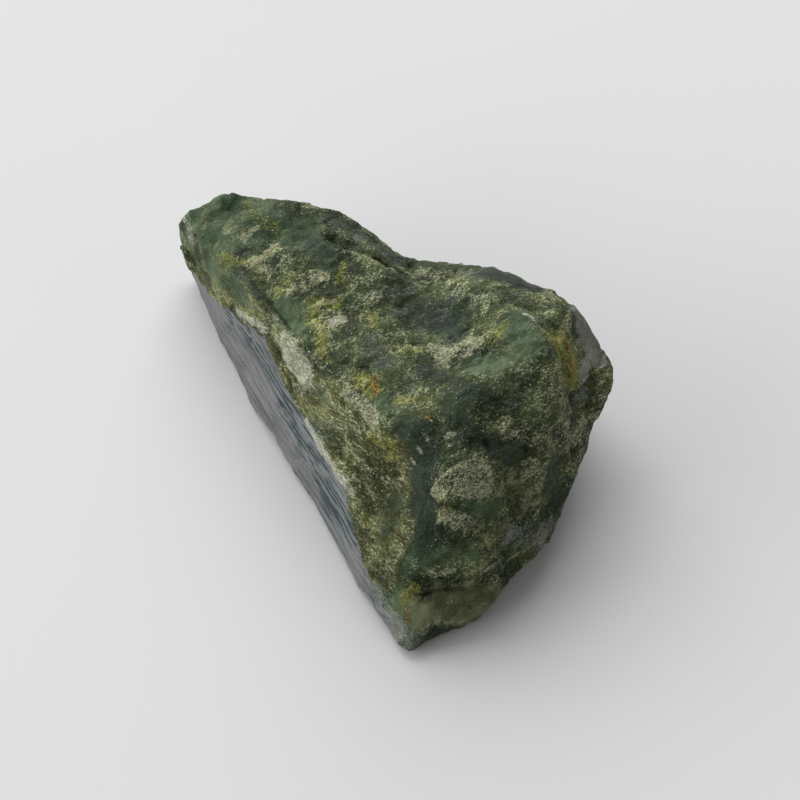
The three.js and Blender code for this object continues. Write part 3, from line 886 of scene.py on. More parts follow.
CRACKS = (
    Crack("far_crack", ((348, 244), (364, 252), (380, 260)), 0.08, 0.2, 0.3, 0.6),
    Crack("far_gap", ((376, 258), (388, 263), (398, 267), (407, 272)), 0.25, 0.4, 0.8, 1.0),
    Crack("crease_crack", ((243, 268), (256, 286), (270, 303), (290, 330)), 0.2, 0.15, 0.22, 0.3),
    Crack("crease_crack_low", ((300, 345), (318, 372), (336, 396), (352, 410)), 0.15, 0.2, 0.18, 0.2),
    Crack("scarp_crack", ((450, 340), (462, 334), (472, 328)), 0.18, 0.12, 0.3, 0.6),
    Crack("brow_crack", ((266, 332), (278, 352), (284, 372), (292, 392)), 0.15, 0.2, 0.3, 0.6),
    Crack("bench_crack", ((416, 596), (440, 590), (462, 588)), 0.2, 0.2, 0.25, 0.4),
)


# ---- The small forms of the skin ----


@dataclass(frozen=True)
class Breaks:
    """Flat breaks that tilt at random.

    Attributes:
        size: Size of a break, in mm.
        tilt: Its slope.
        seed: Which field is meant.
        bend_wave: Wave in which its edges wander, as a share of its size.
        bend: How far its edges wander, as a share of its size.
        rim: Share of its size over which it rises from its edge.
        cell_step: From the seed to the breaks' own.
        slope_step: From the seed to the slopes' own.
    """

    size: float
    tilt: float
    seed: int
    bend_wave: float = 0.8
    bend: float = 0.16
    rim: float = 0.16
    cell_step: int = 5
    slope_step: int = 7

    def heights(self, points: np.ndarray) -> np.ndarray:
        """Returns the heights of the breaks at points, all in mm."""
        loose = Sway(self.size * self.bend_wave, self.size * self.bend, self.seed).moved(points)
        cells = Cells.around(loose, self.size, self.seed + self.cell_step)
        seeds = (self.seed + self.slope_step + axis for axis in range(3))
        slope = np.stack([2 * cells.pick(seed) - 1 for seed in seeds], axis=-1)
        return self.tilt * np.sum(cells.offset * slope, axis=1) * smooth(cells.margin, 0.0, self.rim)


@dataclass(frozen=True)
class Grains:
    """Sugary grains: small domes, each of its own height, with a fine dust between them.

    Attributes:
        size: Size of a grain, in mm.
        rise: Height of the tallest, in mm.
        lowest: Height of the lowest, as a share of the tallest.
        reach: Distance from its middle at which a grain ends, as a share of its size.
        sway: How the grains lose their even order.
        seed: Which field the grains come from.
        tall_seed: Which field their heights come from.
        dust_wave: Wave of the dust, in mm.
        dust_rise: Height of the dust, in mm.
        dust_seed: Which field the dust comes from.
    """

    size: float = 0.55
    rise: float = 0.04
    lowest: float = 0.35
    reach: float = 0.75
    sway: Sway = Sway(0.9, 0.12, 201)
    seed: int = 211
    tall_seed: int = 223
    dust_wave: float = 0.42
    dust_rise: float = 0.03
    dust_seed: int = 231

    def heights(self, points: np.ndarray) -> np.ndarray:
        """Returns the heights of the grains at points, all in mm."""
        cells = Cells.around(self.sway.moved(points), self.size, self.seed)
        dome = 1 - np.clip(cells.nearest / self.reach, 0, 1) ** 2
        tall = self.lowest + (1 - self.lowest) * cells.pick(self.tall_seed)
        dust = drift(points, self.dust_wave, self.dust_seed)
        return self.rise * (dome * tall - self.lowest) + self.dust_rise * dust


@dataclass(frozen=True)
class Pits:
    """Small sharp ridges with pits between them, in some regions only.

    Attributes:
        sway: How the ridges wander.
        folds: The noise whose level lines the ridges follow.
        sharpness: How steeply a ridge falls to its pits.
        regions: The noise that says where they lie.
        start: Value of that noise at which they start.
        full: Value at which they are in full.
    """

    sway: Sway = Sway(1.2, 0.2, 241)
    folds: Ripple = Ripple(1.5, 251, fall=0.55)
    sharpness: float = 2.4
    regions: Ripple = Ripple(4.0, 261, layers=2)
    start: float = -0.25
    full: float = 0.35

    def ridges(self, points: np.ndarray) -> np.ndarray:
        """Returns the ridges at points in mm, as values up to 1."""
        folds = 1 - self.sharpness * np.abs(self.folds.at(self.sway.moved(points)))
        return folds * smooth(self.regions.at(points), self.start, self.full)


@dataclass(frozen=True)
class Relief:
    """All small forms of the skin together, and how far the tints hold them down.

    Attributes:
        large: The large breaks.
        small: The small breaks.
        lumps: The noise of soft lumps.
        lump_rise: Height of the lumps, in mm.
        top_fabric: How the ribs of the top run.
        top_ribs: The noise of the top's ribs.
        top_rib_share: Height of the top's ribs as a share of the flank's.
        flank_fabric: How the ribs of the flank run.
        flank_ribs: The noise of the flank's ribs.
        rib_rise: Height of the flank's ribs, in mm.
        grains: The sugary grains.
        grain_power: How fast the grains die away where the skin is less rough.
        pits: The pits.
        pit_depth: Height of the ridges between the pits, in mm.
        ash_share: How far ash counts as smooth side.
        slate_hold: How far the smooth side holds the breaks down, from 0 to 1.
        clear_hold: The same for the clear and the dark finish.
        calm_hold: The same for the calm patches.
        least: Share of the breaks that is always left.
    """

    large: Breaks = Breaks(4.4, 0.09, 101)
    small: Breaks = Breaks(1.7, 0.13, 131)
    lumps: Ripple = Ripple(2.4, 151, layers=4, fall=0.6)
    lump_rise: float = 0.06
    top_fabric: Fabric = Fabric(TOP_ALONG, 4.0)
    top_ribs: Ripple = Ripple(0.9, 401, fall=0.6)
    top_rib_share: float = 0.4
    flank_fabric: Fabric = Fabric(FLANK_ALONG, 6.0)
    flank_ribs: Ripple = Ripple(0.8, 411, fall=0.6)
    rib_rise: float = 0.05
    grains: Grains = Grains()
    grain_power: float = 1.5
    pits: Pits = Pits()
    pit_depth: float = 0.1
    ash_share: float = 0.8
    slate_hold: float = 0.93
    clear_hold: float = 0.35
    calm_hold: float = 0.85
    least: float = 0.05

    def heights(self, points: np.ndarray, tints: Shares, side: SmoothSide) -> np.ndarray:
        """How far the small forms raise the skin.

        Args:
            points: Points in mm.
            tints: Each tint's share at the points.
            side: The smooth side.

        Returns:
            Heights in mm.
        """
        tooth = tints[Tint.TOOTH]
        slate = np.maximum(tints[Tint.SLATE], self.ash_share * tints[Tint.ASH])
        clear = np.maximum(tints[Tint.JADE], tints[Tint.SHADE])
        hold = 1 - self.slate_hold * slate - self.clear_hold * clear - self.calm_hold * tints[Tint.CALM]
        breaks = np.clip(hold, self.least, 1)
        height = breaks * self.large.heights(points)
        height += breaks * self.small.heights(points)
        height += self.lump_rise * breaks * self.lumps.at(points)
        height += self.rib_rise * breaks * self._ribs(points, tints[Tint.FLANK])
        height += tooth**self.grain_power * self.grains.heights(points)
        height += self.pit_depth * breaks * tooth * self.pits.ridges(points)
        height += slate * side.heights(points)
        return height

    def _ribs(self, points: np.ndarray, flank: np.ndarray) -> np.ndarray:
        """Returns ribs from -1 to 1 that run along the rock's fabric, at points in mm."""
        top = self.top_ribs.at(self.top_fabric.squeezed(points))
        side = self.flank_ribs.at(self.flank_fabric.squeezed(points))
        return self.top_rib_share * top + (side - self.top_rib_share * top) * flank


@dataclass(frozen=True)
class Scatter:
    """Patches of one finish that no stroke names, as the sides away from the main view have them.

    Attributes:
        tint: The finish.
        ripple: The noise that says where they lie.
        start: Value of the noise at which a patch starts.
        full: Value at which it is in full.
        strength: How much of the finish a patch brings, from 0 to 1.
    """

    tint: Tint
    ripple: Ripple
    start: float
    full: float
    strength: float

    def patches(self, points: np.ndarray) -> np.ndarray:
        """Returns how much of the finish the patches bring at points in mm."""
        return smooth(self.ripple.at(points), self.start, self.full) * self.strength


SCATTERS = (
    Scatter(Tint.CHALK, Ripple(3.2, 51), 0.22, 0.6, 0.75),
    Scatter(Tint.MOSS, Ripple(4.4, 61), 0.12, 0.55, 0.7),
    Scatter(Tint.JADE, Ripple(6.0, 71), 0.15, 0.5, 0.8),
    Scatter(Tint.SHADE, Ripple(5.0, 81), 0.15, 0.5, 0.7),
)


# ---- The skin ----


def distances(start: np.ndarray, end: np.ndarray, points: np.ndarray) -> np.ndarray:
    """How far points lie from a straight line between two ends.

    Args:
        start: One end.
        end: The other end; it may be the same.
        points: Points, one in each row.

    Returns:
        Distances in the points' own unit.
    """
    run = end - start
    length = float(run @ run)
    share = np.zeros(len(points))
    if length > 0:
        share = np.clip((points - start) @ run / length, 0.0, 1.0)
    return np.linalg.norm(points - start - share[:, None] * run, axis=1)


@dataclass
class StoneSkin:
    """The stone's fine skin, made from the CAD solid's own surface.

    Attributes:
        view: The main view, in which spots on the stone are named.
        side: The smooth side.
        relief: The small forms.
        mesh_step: Size of the fine mesh's squares, in mm.
        weld_gap: Distance under which the solid's corners are joined, in metres.
        thin_height: Height of the underside's thinned part, as a share of mesh_step.
        kept_share: Share of the faces that is kept when the underside is thinned.
        sole_height: Height under which a point rests on the floor, as a share of mesh_step.
        wear_passes: How often the solid's facets are evened out.
        broad_passes: How often the normals are evened out, to give the broad ones.
        hollow_passes: How often the points are evened out, to find hollows.
        hollow_gain: How strongly a hollow's depth in mm counts.
        foot_start: Height at which the relief starts, in mm.
        foot: Height at which it is in full, in mm.
        sight_search: How far round the target a sight line that misses is searched, in mm.
        guard: Distance from a form's middle beyond which it has no effect, in mm.
        guard_start: Share of the guard distance at which the form starts to fade.
        shown_span: Agreement with the lens's direction at which skin starts to show and is in full.
        least_core: Fewest points on which a flat is laid.
        patch_sway: How the patches' outlines wander.
        patch_fray: How they fray.
        form_sway: How the forms' outlines wander.
        stroke_reach: How far a stroke reaches, in half-widths.
        stroke_power: How steeply it ends.
        flank_soft: Half of the width of the flank's blend, in mm.
        scatter_shown: Share of the scattered patches on the side that shows.
        shade_hold: How far shade holds chalk and moss back, from 0 to 1.
        clear_tooth: How far the clear and the dark finish take the grains away, from 0 to 1.
        least_tooth: Share of the grains that is always left.
    """

    view: MainView
    side: SmoothSide = SmoothSide()
    relief: Relief = Relief()
    mesh_step: float = 0.2
    weld_gap: float = 1e-6
    thin_height: float = 0.5
    kept_share: float = 0.8
    sole_height: float = 0.6
    wear_passes: int = 10
    broad_passes: int = 30
    hollow_passes: int = 12
    hollow_gain: float = 4.0
    foot_start: float = 0.05
    foot: float = 0.5
    sight_search: int = 30
    guard: float = 9.0
    guard_start: float = 0.8
    shown_span: Span = (-0.05, 0.3)
    least_core: int = 10
    patch_sway: Sway = Sway(2.2, 0.5, 11)
    patch_fray: Sway = Sway(0.7, 0.22, 13)
    form_sway: Sway = Sway(1.2, 0.16, 23)
    stroke_reach: float = 1.25
    stroke_power: float = 2.4
    flank_soft: float = 0.8
    scatter_shown: float = 0.15
    shade_hold: float = 0.7
    clear_tooth: float = 0.85
    least_tooth: float = 0.12
    sight_tree: BVHTree = field(init=False, repr=False)
    mesh: bpy.types.Mesh = field(init=False, repr=False)
    points: np.ndarray = field(init=False, repr=False)
    edges: np.ndarray = field(init=False, repr=False)
    normals: np.ndarray = field(init=False, repr=False)
    broad: np.ndarray = field(init=False, repr=False)
    free: np.ndarray = field(init=False, repr=False)
    tints: Shares = field(init=False, repr=False)

    def build(self) -> bpy.types.Object:
        """Makes the skin and its patches.

        Returns:
            The skin, which stands for the CAD node.
        """
        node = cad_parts[NODE]
        self.sight_tree = self._sight_tree(node)
        skin = self._fine_copy(node)
        self._read(skin.data)
        self._wear()
        self._lay_tints()
        self._cut_forms()
        self._break_surface()
        self._write()
        self._store_tints()
        return skin

    def dress(self, skin: bpy.types.Object, finish: bpy.types.Material) -> None:
        """Gives the skin its finish, hangs it on its body and hides the CAD node."""
        skin.data.materials.append(finish)
        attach(skin, BODY)
        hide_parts(NODE)

    def _sight_tree(self, node: bpy.types.Object) -> BVHTree:
        """Returns a search tree of the CAD node's surface, in mm."""
        mesh = node.data
        corners = [Vector(vertex.co) / MM for vertex in mesh.vertices]
        faces = [tuple(polygon.vertices) for polygon in mesh.polygons]
        return BVHTree.FromPolygons(corners, faces)

    def spot(self, place: Place) -> np.ndarray:
        """Point of the stone that shows at a place in the main view.

        Args:
            place: Across and down in the frame.

        Returns:
            The point in mm. Just off the stone's outline, it is the stone's nearest point.
        """
        lens = Vector(self.view.lens_place())
        line = Vector(self.view.sight(place))
        hit = self.sight_tree.ray_cast(lens, line)[0]
        if hit is None:
            steps = range(-self.sight_search, self.sight_search)
            stops = [lens + line * (self.view.distance + step) for step in steps]
            tries = [self.sight_tree.find_nearest(stop) for stop in stops]
            hit = min(tries, key=lambda found: found[3])[0]
        return np.array(hit)

    def _fine_copy(self, node: bpy.types.Object) -> bpy.types.Object:
        """Makes a fine, even mesh of the node's surface.

        Args:
            node: The CAD node.

        Returns:
            A new object with the fine mesh.
        """
        coarse = bpy.data.objects.new("coarse_skin", node.data.copy())
        bpy.context.scene.collection.objects.link(coarse)
        weld = coarse.modifiers.new("weld", "WELD")
        weld.merge_threshold = self.weld_gap
        remesh = coarse.modifiers.new("remesh", "REMESH")
        remesh.mode = "VOXEL"
        remesh.voxel_size = self.mesh_step * MM
        mesh = self._baked(coarse)
        bpy.data.objects.remove(coarse)
        skin = bpy.data.objects.new("rough_skin", mesh)
        bpy.context.scene.collection.objects.link(skin)
        self._thin_underside(skin)
        skin.data.name = "rough_skin"
        skin.data.materials.clear()
        return skin

    def _baked(self, item: bpy.types.Object) -> bpy.types.Mesh:
        """Returns a new mesh with an object's modifiers applied."""
        graph = bpy.context.evaluated_depsgraph_get()
        return bpy.data.meshes.new_from_object(item.evaluated_get(graph))

    def _thin_underside(self, skin: bpy.types.Object) -> None:
        """Merges the flat underside's small faces, which show nothing."""
        limit = self.thin_height * self.mesh_step * MM
        group = skin.vertex_groups.new(name="underside")
        low = [vertex.index for vertex in skin.data.vertices if vertex.co.z < limit]
        group.add(low, 1.0, "REPLACE")
        thin = skin.modifiers.new("thin", "DECIMATE")
        thin.ratio = self.kept_share
        thin.vertex_group = group.name
        mesh = self._baked(skin)
        skin.modifiers.clear()
        skin.vertex_groups.clear()
        skin.data = mesh

    def _read(self, mesh: bpy.types.Mesh) -> None:
        """Reads the mesh's points and edges."""
        flat = np.empty(len(mesh.vertices) * 3, np.float32)
        mesh.vertices.foreach_get("co", flat)
        self.points = flat.reshape(-1, 3).astype(np.float64) / MM
        pairs = np.empty(len(mesh.edges) * 2, np.int32)
        mesh.edges.foreach_get("vertices", pairs)
        self.edges = pairs.reshape(-1, 2)
        self.mesh = mesh

    def _write(self) -> None:
        """Writes the points back to the mesh, with smooth shading."""
        self.mesh.vertices.foreach_set("co", (self.points * MM).astype(np.float32).ravel())
        self.mesh.polygons.foreach_set("use_smooth", np.ones(len(self.mesh.polygons), bool))
        self.mesh.update()

    def _face(self) -> np.ndarray:
        """Returns the points' outward unit vectors as they now stand."""
        self._write()
        flat = np.empty(len(self.mesh.vertices) * 3, np.float32)
        self.mesh.vertex_normals.foreach_get("vector", flat)
        return flat.reshape(-1, 3).astype(np.float64)

    def _even(self, values: np.ndarray, passes: int) -> np.ndarray:
        """Evens values out along the mesh's edges.

        Args:
            values: One row for each point.
            passes: How often.

        Returns:
            The evened values.
        """
        first, second = self.edges[:, 0], self.edges[:, 1]
        count = np.bincount(first, minlength=len(values)) + np.bincount(second, minlength=len(values))
        table = values.reshape(len(values), -1)
        for _ in range(passes):
            columns = []
            for column in table.T:
                total = np.bincount(first, column[second], len(values))
                total += np.bincount(second, column[first], len(values))
                columns.append(0.5 * column + 0.5 * total / count)
            table = np.stack(columns, axis=-1)
        return table.reshape(values.shape)

    def _wear(self) -> None:
        """Evens out the solid's facets, then keeps the normals and where the relief is free."""
        resting = self.points[:, 2] < self.sole_height * self.mesh_step
        self.points[resting, 2] = 0.0
        height = self.points[:, 2].copy()
        self.points = self._even(self.points, self.wear_passes)
        kept = smooth(height, self.foot_start, self.foot)
        self.points[:, 2] = height + (self.points[:, 2] - height) * kept
        self.points[resting, 2] = 0.0
        self.normals = self._face()
        self.broad = self._even(self.normals, self.broad_passes)
        self.broad /= np.linalg.norm(self.broad, axis=1)[:, None]
        self.free = smooth(self.points[:, 2], self.foot_start, self.foot)

    def _lay_tints(self) -> None:
        """Works out how much of each tint lies at each point."""
        loose = self.patch_fray.moved(self.patch_sway.moved(self.points))
        places = self.view.places(loose)
        self.tints = {tint: np.zeros(len(self.points)) for tint in Tint}
        for tint, strokes in STROKES.items():
            for stroke in strokes:
                away = distances(self.spot(stroke.start), self.spot(stroke.end), loose)
                fade = (away / (stroke.width * self.stroke_reach)) ** self.stroke_power
                self._add(tint, stroke.strength * np.exp(-fade))
        side = self.side.share(self.broad, self._inside(self.side.outline, places))
        self.tints[Tint.SLATE] = np.maximum(self.tints[Tint.SLATE], side)
        inside = self._inside(FLANK_OUTLINE, places)
        self.tints[Tint.FLANK] = smooth(inside, -self.flank_soft, self.flank_soft)
        self._scatter()
        for dry in (Tint.CHALK, Tint.MOSS):
            self.tints[dry] *= 1 - self.shade_hold * self.tints[Tint.SHADE]
        self._lay_tooth()

    def _add(self, tint: Tint, patch: np.ndarray) -> None:
        """Lays one more patch of a tint over what is there."""
        self.tints[tint] = 1 - (1 - self.tints[tint]) * (1 - patch)

    def _scatter(self) -> None:
        """Adds patches that no stroke names, so that every side is weathered alike."""
        shown = self._shown()
        weight = 1 - shown + self.scatter_shown * shown
        for scatter in SCATTERS:
            patches = scatter.patches(self.points)
            self._add(scatter.tint, patches * weight * (1 - self.tints[Tint.SLATE]))

    def _lay_tooth(self) -> None:
        """Works out where the skin is grainy: in full on chalk and moss, least where it is clear."""
        clear = np.maximum(self.tints[Tint.JADE], self.tints[Tint.SHADE])
        plain = np.maximum(self.tints[Tint.SLATE], self.tints[Tint.ASH])
        tooth = np.clip(1.0 - np.maximum(plain, self.clear_tooth * clear), self.least_tooth, 1.0)
        crust = np.maximum(self.tints[Tint.CHALK], self.tints[Tint.MOSS])
        self.tints[Tint.TOOTH] = np.clip(np.maximum(tooth, crust), 0.0, 1.0)

    def _shown(self) -> np.ndarray:
        """Returns 1 where the skin faces the main view and 0 where it faces away."""
        return smooth(self.broad @ self.view.axes()[2], *self.shown_span)

    def _inside(self, outline: tuple[Place, ...], places: np.ndarray) -> np.ndarray:
        """Signed distance into an outline in the main view.

        Args:
            outline: Corners of the outline, in order.
            places: Places to measure.

        Returns:
            Distances in mm, over 0 inside.
        """
        corners = np.array(outline, float)
        nearest = np.full(len(places), np.inf)
        within = np.zeros(len(places), bool)
        for start, end in zip(corners, np.roll(corners, -1, axis=0)):
            run = end - start
            nearest = np.minimum(nearest, distances(start, end, places))
            spans = (start[1] > places[:, 1]) != (end[1] > places[:, 1])
            if end[1] != start[1]:
                cross = start[0] + (places[:, 1] - start[1]) / (end[1] - start[1]) * run[0]
                within ^= spans & (places[:, 0] < cross)
        return np.where(within, nearest, -nearest) * self.view.place_width

    def _near(self, outline: tuple[Place, ...]) -> np.ndarray:
        """Returns 1 near an outline's middle on the stone, and 0 beyond the guard distance."""
        middle = self.spot(tuple(np.mean(np.array(outline), axis=0)))
        away = np.linalg.norm(self.points - middle, axis=1)
        return smooth(away, self.guard, self.guard * self.guard_start) * self._shown()

    def _cut_forms(self) -> None:
        """Nudges the skin, then cuts the flats, the plateaus and the cracks."""
        loose = self.form_sway.moved(self.points)
        places = self.view.places(loose)
        for nudge in NUDGES:
            away = np.linalg.norm(self.points - self.spot(nudge.place), axis=1)
            self.points += np.exp(-((away / nudge.reach) ** 2))[:, None] * np.array(nudge.move)
        self.points[:, 2] = np.maximum(self.points[:, 2], 0.0)
        for flat in FLATS:
            self._cut_flat(flat, places)
        for plateau in PLATEAUS:
            self._raise_plateau(plateau, places)
        for crack in CRACKS:
            self._open_crack(crack, loose)

    def _cut_flat(self, flat: Flat, places: np.ndarray) -> None:
        """Draws the skin inside a flat's outline onto the plane that fits it best."""
        depth = self._inside(flat.outline, places)
        share = smooth(depth, -flat.soft, flat.soft) * self._near(flat.outline)
        core = share > 0.5
        if core.sum() < self.least_core:
            LOG.warning("flat %s found no skin", flat.name)
            return
        middle = self.points[core].mean(axis=0)
        spread = self.points[core] - middle
        normal = np.linalg.svd(spread.T @ spread)[0][:, 2]
        if normal @ self.normals[core].mean(axis=0) < 0:
            normal = -normal
        off = (self.points - middle) @ normal
        self.points -= (share * flat.hold * off)[:, None] * normal

    def _raise_plateau(self, plateau: Plateau, places: np.ndarray) -> None:
        """Raises the skin inside a plateau's outline, most at its crisp side."""
        depth = self._inside(plateau.outline, places)
        share = smooth(depth, -plateau.soft / 2, plateau.soft / 2) * self._near(plateau.outline)
        toward = np.array(plateau.crisp_side, float)
        toward /= np.linalg.norm(toward)
        reach = np.max(np.array(plateau.outline) @ toward)
        behind = np.maximum(reach - places @ toward, 0) * self.view.place_width
        height = plateau.rise * share * np.exp(-behind / plateau.back_fade)
        self.points += height[:, None] * self.broad

    def _open_crack(self, crack: Crack, loose: np.ndarray) -> None:
        """Sinks the skin along a crack's line, and paints shade into it."""
        spots = [self.spot(place) for place in crack.line]
        legs = len(spots) - 1
        share = np.zeros(len(loose))
        for leg, (start, end) in enumerate(zip(spots, spots[1:])):
            away = distances(start, end, loose) / crack.width((leg + 0.5) / legs)
            share = np.maximum(share, np.exp(-(away**2)))
        self.points -= (crack.depth * share * self._shown())[:, None] * self.broad
        self.tints[Tint.SHADE_PAINT] = np.maximum(self.tints[Tint.SHADE_PAINT], crack.shade * share)

    def _break_surface(self) -> None:
        """Roughens the skin with its small forms, and keeps it above the floor."""
        height = self.relief.heights(self.points, self.tints, self.side) * self.free
        self.points += height[:, None] * self.normals
        self.points[:, 2] = np.maximum(self.points[:, 2], 0.0)

    def _store_tints(self) -> None:
        """Stores each tint's share, and how hollow the skin is, as values on the mesh."""
        lows = self._even(self.points, self.hollow_passes)
        hollow = np.sum((lows - self.points) * self.normals, axis=1)
        layers = {tint.value: share for tint, share in self.tints.items()}
        layers[HOLLOW] = 0.5 + self.hollow_gain * hollow
        for name, share in layers.items():
            layer = self.mesh.attributes.new(name, "FLOAT", "POINT")
            layer.data.foreach_set("value", np.clip(share, 0, 1).astype(np.float32))


# ---- The finish ----


@dataclass(frozen=True)
class Pigment:
    """A pair of colours between which one finish varies.

    Attributes:
        deep: The darker colour.
        light: The lighter colour.
    """

    deep: Colour
    light: Colour


BASE = Pigment((0.019, 0.031, 0.015, 1), (0.050, 0.070, 0.032, 1))
GREEN = Pigment((0.035, 0.060, 0.032, 1), (0.106, 0.148, 0.083, 1))
OCHRE = Pigment((0.060, 0.067, 0.014, 1), (0.300, 0.305, 0.092, 1))
CHALK = Pigment((0.070, 0.078, 0.040, 1), (0.470, 0.480, 0.320, 1))
CREAM = Pigment((0.130, 0.138, 0.062, 1), (0.440, 0.445, 0.250, 1))
STAIN = Pigment((0.085, 0.052, 0.011, 1), (0.340, 0.190, 0.048, 1))
DUSK = Pigment((0.016, 0.025, 0.017, 1), (0.061, 0.083, 0.058, 1))
CLOUD = Pigment((0.225, 0.240, 0.165, 1), (0.560, 0.570, 0.450, 1))
CRUST = Pigment((0.030, 0.036, 0.014, 1), (0.118, 0.126, 0.056, 1))
# Grey; on the sheen strokes it is painted sheen, reflected room light laid as matte colour.
ASH = Pigment((0.125, 0.134, 0.112, 1), (0.235, 0.245, 0.212, 1))
HONEY = Pigment((0.097, 0.106, 0.055, 1), (0.209, 0.220, 0.122, 1))
# The smooth side's pale grey is partly its own colour and partly painted reflection of the pale floor.
SLATE = Pigment((0.060, 0.065, 0.066, 1), (0.210, 0.212, 0.207, 1))
STREAK = Pigment((0.034, 0.046, 0.052, 1), (0.160, 0.175, 0.174, 1))
BLOOM = (0.500, 0.520, 0.310, 1)
# Painted highlight: the near-white of the painted glints.
PAINTED_GLINT = (0.85, 0.86, 0.68, 1)
# Painted shade: the near-black towards which hollows, cracks and painted-shade patches are darkened.
PAINTED_SHADE_COLOUR = (0.012, 0.016, 0.010, 1)


@dataclass(frozen=True)
class Mist:
    """A noise of the finish.

    Attributes:
        wave: Its wave in mm.
        detail: How many finer layers it has.
        rough: Height of each finer layer.
    """

    wave: float
    detail: float
    rough: float = 0.55


class Bench:
    """A small workbench for node trees: it adds nodes and joins them."""

    def __init__(self, tree: bpy.types.NodeTree) -> None:
        """Starts with an empty tree.

        Args:
            tree: The node tree to work on.
        """
        self.tree = tree
        self.tree.nodes.clear()

    def add(self, kind: str, **settings: object) -> bpy.types.Node:
        """Adds a node.

        Args:
            kind: The node's type.
            settings: Its properties by name.

        Returns:
            The node.
        """
        node = self.tree.nodes.new(kind)
        for name, value in settings.items():
            setattr(node, name, value)
        return node

    def join(self, source: object, target: Socket) -> None:
        """Joins a socket to a target, or sets the target to a plain value."""
        if isinstance(source, Socket):
            self.tree.links.new(source, target)
        else:
            target.default_value = source

    def math(self, operation: str, *inputs: object, clamp: bool = False) -> Socket:
        """Returns the result of a math node on the inputs."""
        node = self.add("ShaderNodeMath", operation=operation, use_clamp=clamp)
        for source, target in zip(inputs, node.inputs):
            self.join(source, target)
        return node.outputs[0]

    def times(self, first: object, second: object) -> Socket:
        """Returns the product of two plain values."""
        return self.math("MULTIPLY", first, second)

    def share(self, name: str) -> Socket:
        """Returns a value that is stored on the mesh."""
        return self.add("ShaderNodeAttribute", attribute_name=name).outputs["Fac"]

    def tint(self, tint: Tint) -> Socket:
        """Returns a tint's share as it is stored on the mesh."""
        return self.share(tint.value)

    def squeeze(self, where: Socket, fabric: Fabric) -> Socket:
        """Coordinates drawn together along a fabric, as Fabric does it for points.

        Args:
            where: The coordinates.
            fabric: The direction of the streaks, and how long they are.

        Returns:
            The squeezed coordinates.
        """
        way = Vector(fabric.along).normalized()
        dot = self.add("ShaderNodeVectorMath", operation="DOT_PRODUCT")
        self.join(where, dot.inputs[0])
        dot.inputs[1].default_value = way
        back = self.add("ShaderNodeVectorMath", operation="SCALE")
        back.inputs[0].default_value = way * (1 / fabric.stretch - 1)
        self.join(dot.outputs["Value"], back.inputs["Scale"])
        total = self.add("ShaderNodeVectorMath", operation="ADD")
        self.join(where, total.inputs[0])
        self.join(back.outputs[0], total.inputs[1])
        return total.outputs[0]

    def noise(self, where: Socket, mist: Mist) -> Socket:
        """Returns a noise from 0 to 1 at coordinates in metres."""
        node = self.add("ShaderNodeTexNoise")
        self.join(where, node.inputs["Vector"])
        node.inputs["Scale"].default_value = 1 / (mist.wave * MM)
        node.inputs["Detail"].default_value = mist.detail
        node.inputs["Roughness"].default_value = mist.rough
        return node.outputs["Fac"]

    def grains(self, where: Socket, size: float) -> tuple[Socket, list[Socket]]:
        """Angular grains that fill space.

        Args:
            where: The coordinates, in metres.
            size: Size of a grain, in mm.

        Returns:
            The distance from the grain's middle, as a share of its size, and three random
            values from 0 to 1 that are even over each grain.
        """
        cell = self.add("ShaderNodeTexVoronoi", feature="F1")
        self.join(where, cell.inputs["Vector"])
        cell.inputs["Scale"].default_value = 1 / (size * MM)
        parts = self.add("ShaderNodeSeparateColor")
        self.join(cell.outputs["Color"], parts.inputs["Color"])
        return cell.outputs["Distance"], list(parts.outputs)

    def step(self, value: object, span: Span) -> Socket:
        """Returns a smooth step of a value over a span, from 0 to 1."""
        node = self.add("ShaderNodeMapRange", interpolation_type="SMOOTHSTEP")
        self.join(value, node.inputs["Value"])
        node.inputs["From Min"].default_value = span[0]
        node.inputs["From Max"].default_value = span[1]
        return node.outputs["Result"]

    def mix(self, share: object, first: object, second: object) -> Socket:
        """Returns the mix of two colours."""
        node = self.add("ShaderNodeMix", data_type="RGBA")
        self.join(share, node.inputs[0])
        self.join(first, node.inputs[6])
        self.join(second, node.inputs[7])
        return node.outputs[2]

    def blend(self, share: object, first: object, second: object) -> Socket:
        """Returns the mix of two plain values."""
        node = self.add("ShaderNodeMix", data_type="FLOAT")
        self.join(share, node.inputs[0])
        self.join(first, node.inputs[2])
        self.join(second, node.inputs[3])
        return node.outputs[0]

    def pigment(self, pigment: Pigment, share: object) -> Socket:
        """Returns a pigment's colour at a share from deep to light."""
        return self.mix(share, pigment.deep, pigment.light)


@dataclass(frozen=True)
class Weave:
    """The noises of the rock's fabric, as sockets of one node tree, all from 0 to 1.

    Attributes:
        where: The coordinates, in metres.
        broad: Noise of about 5 mm.
        patchy: Noise of about 1 mm, drawn out along the fabric.
        fine: Noise of about 0.15 mm, drawn out along the fabric.
        grit: Grains of about 0.12 mm, each with its own even value.
        grain: The fine noise and the grit together.
    """

    where: Socket
    broad: Socket
    patchy: Socket
    fine: Socket
    grit: Socket
    grain: Socket


class Tear(Enum):
    """The noises that tear the edge of a patch."""

    PATCHY = "in soft tongues"
    RIPPLE = "in tongues with grainy edges"
    GRAIN = "grain by grain"


@dataclass(frozen=True)
class Edge:
    """How the patches of one finish end.

    Attributes:
        tear: The noise that tears the edge.
        depth: How far it shifts the patch's share up and down.
        span: Torn share at which the finish starts to cover and covers in full.
    """

    tear: Tear
    depth: float
    span: Span


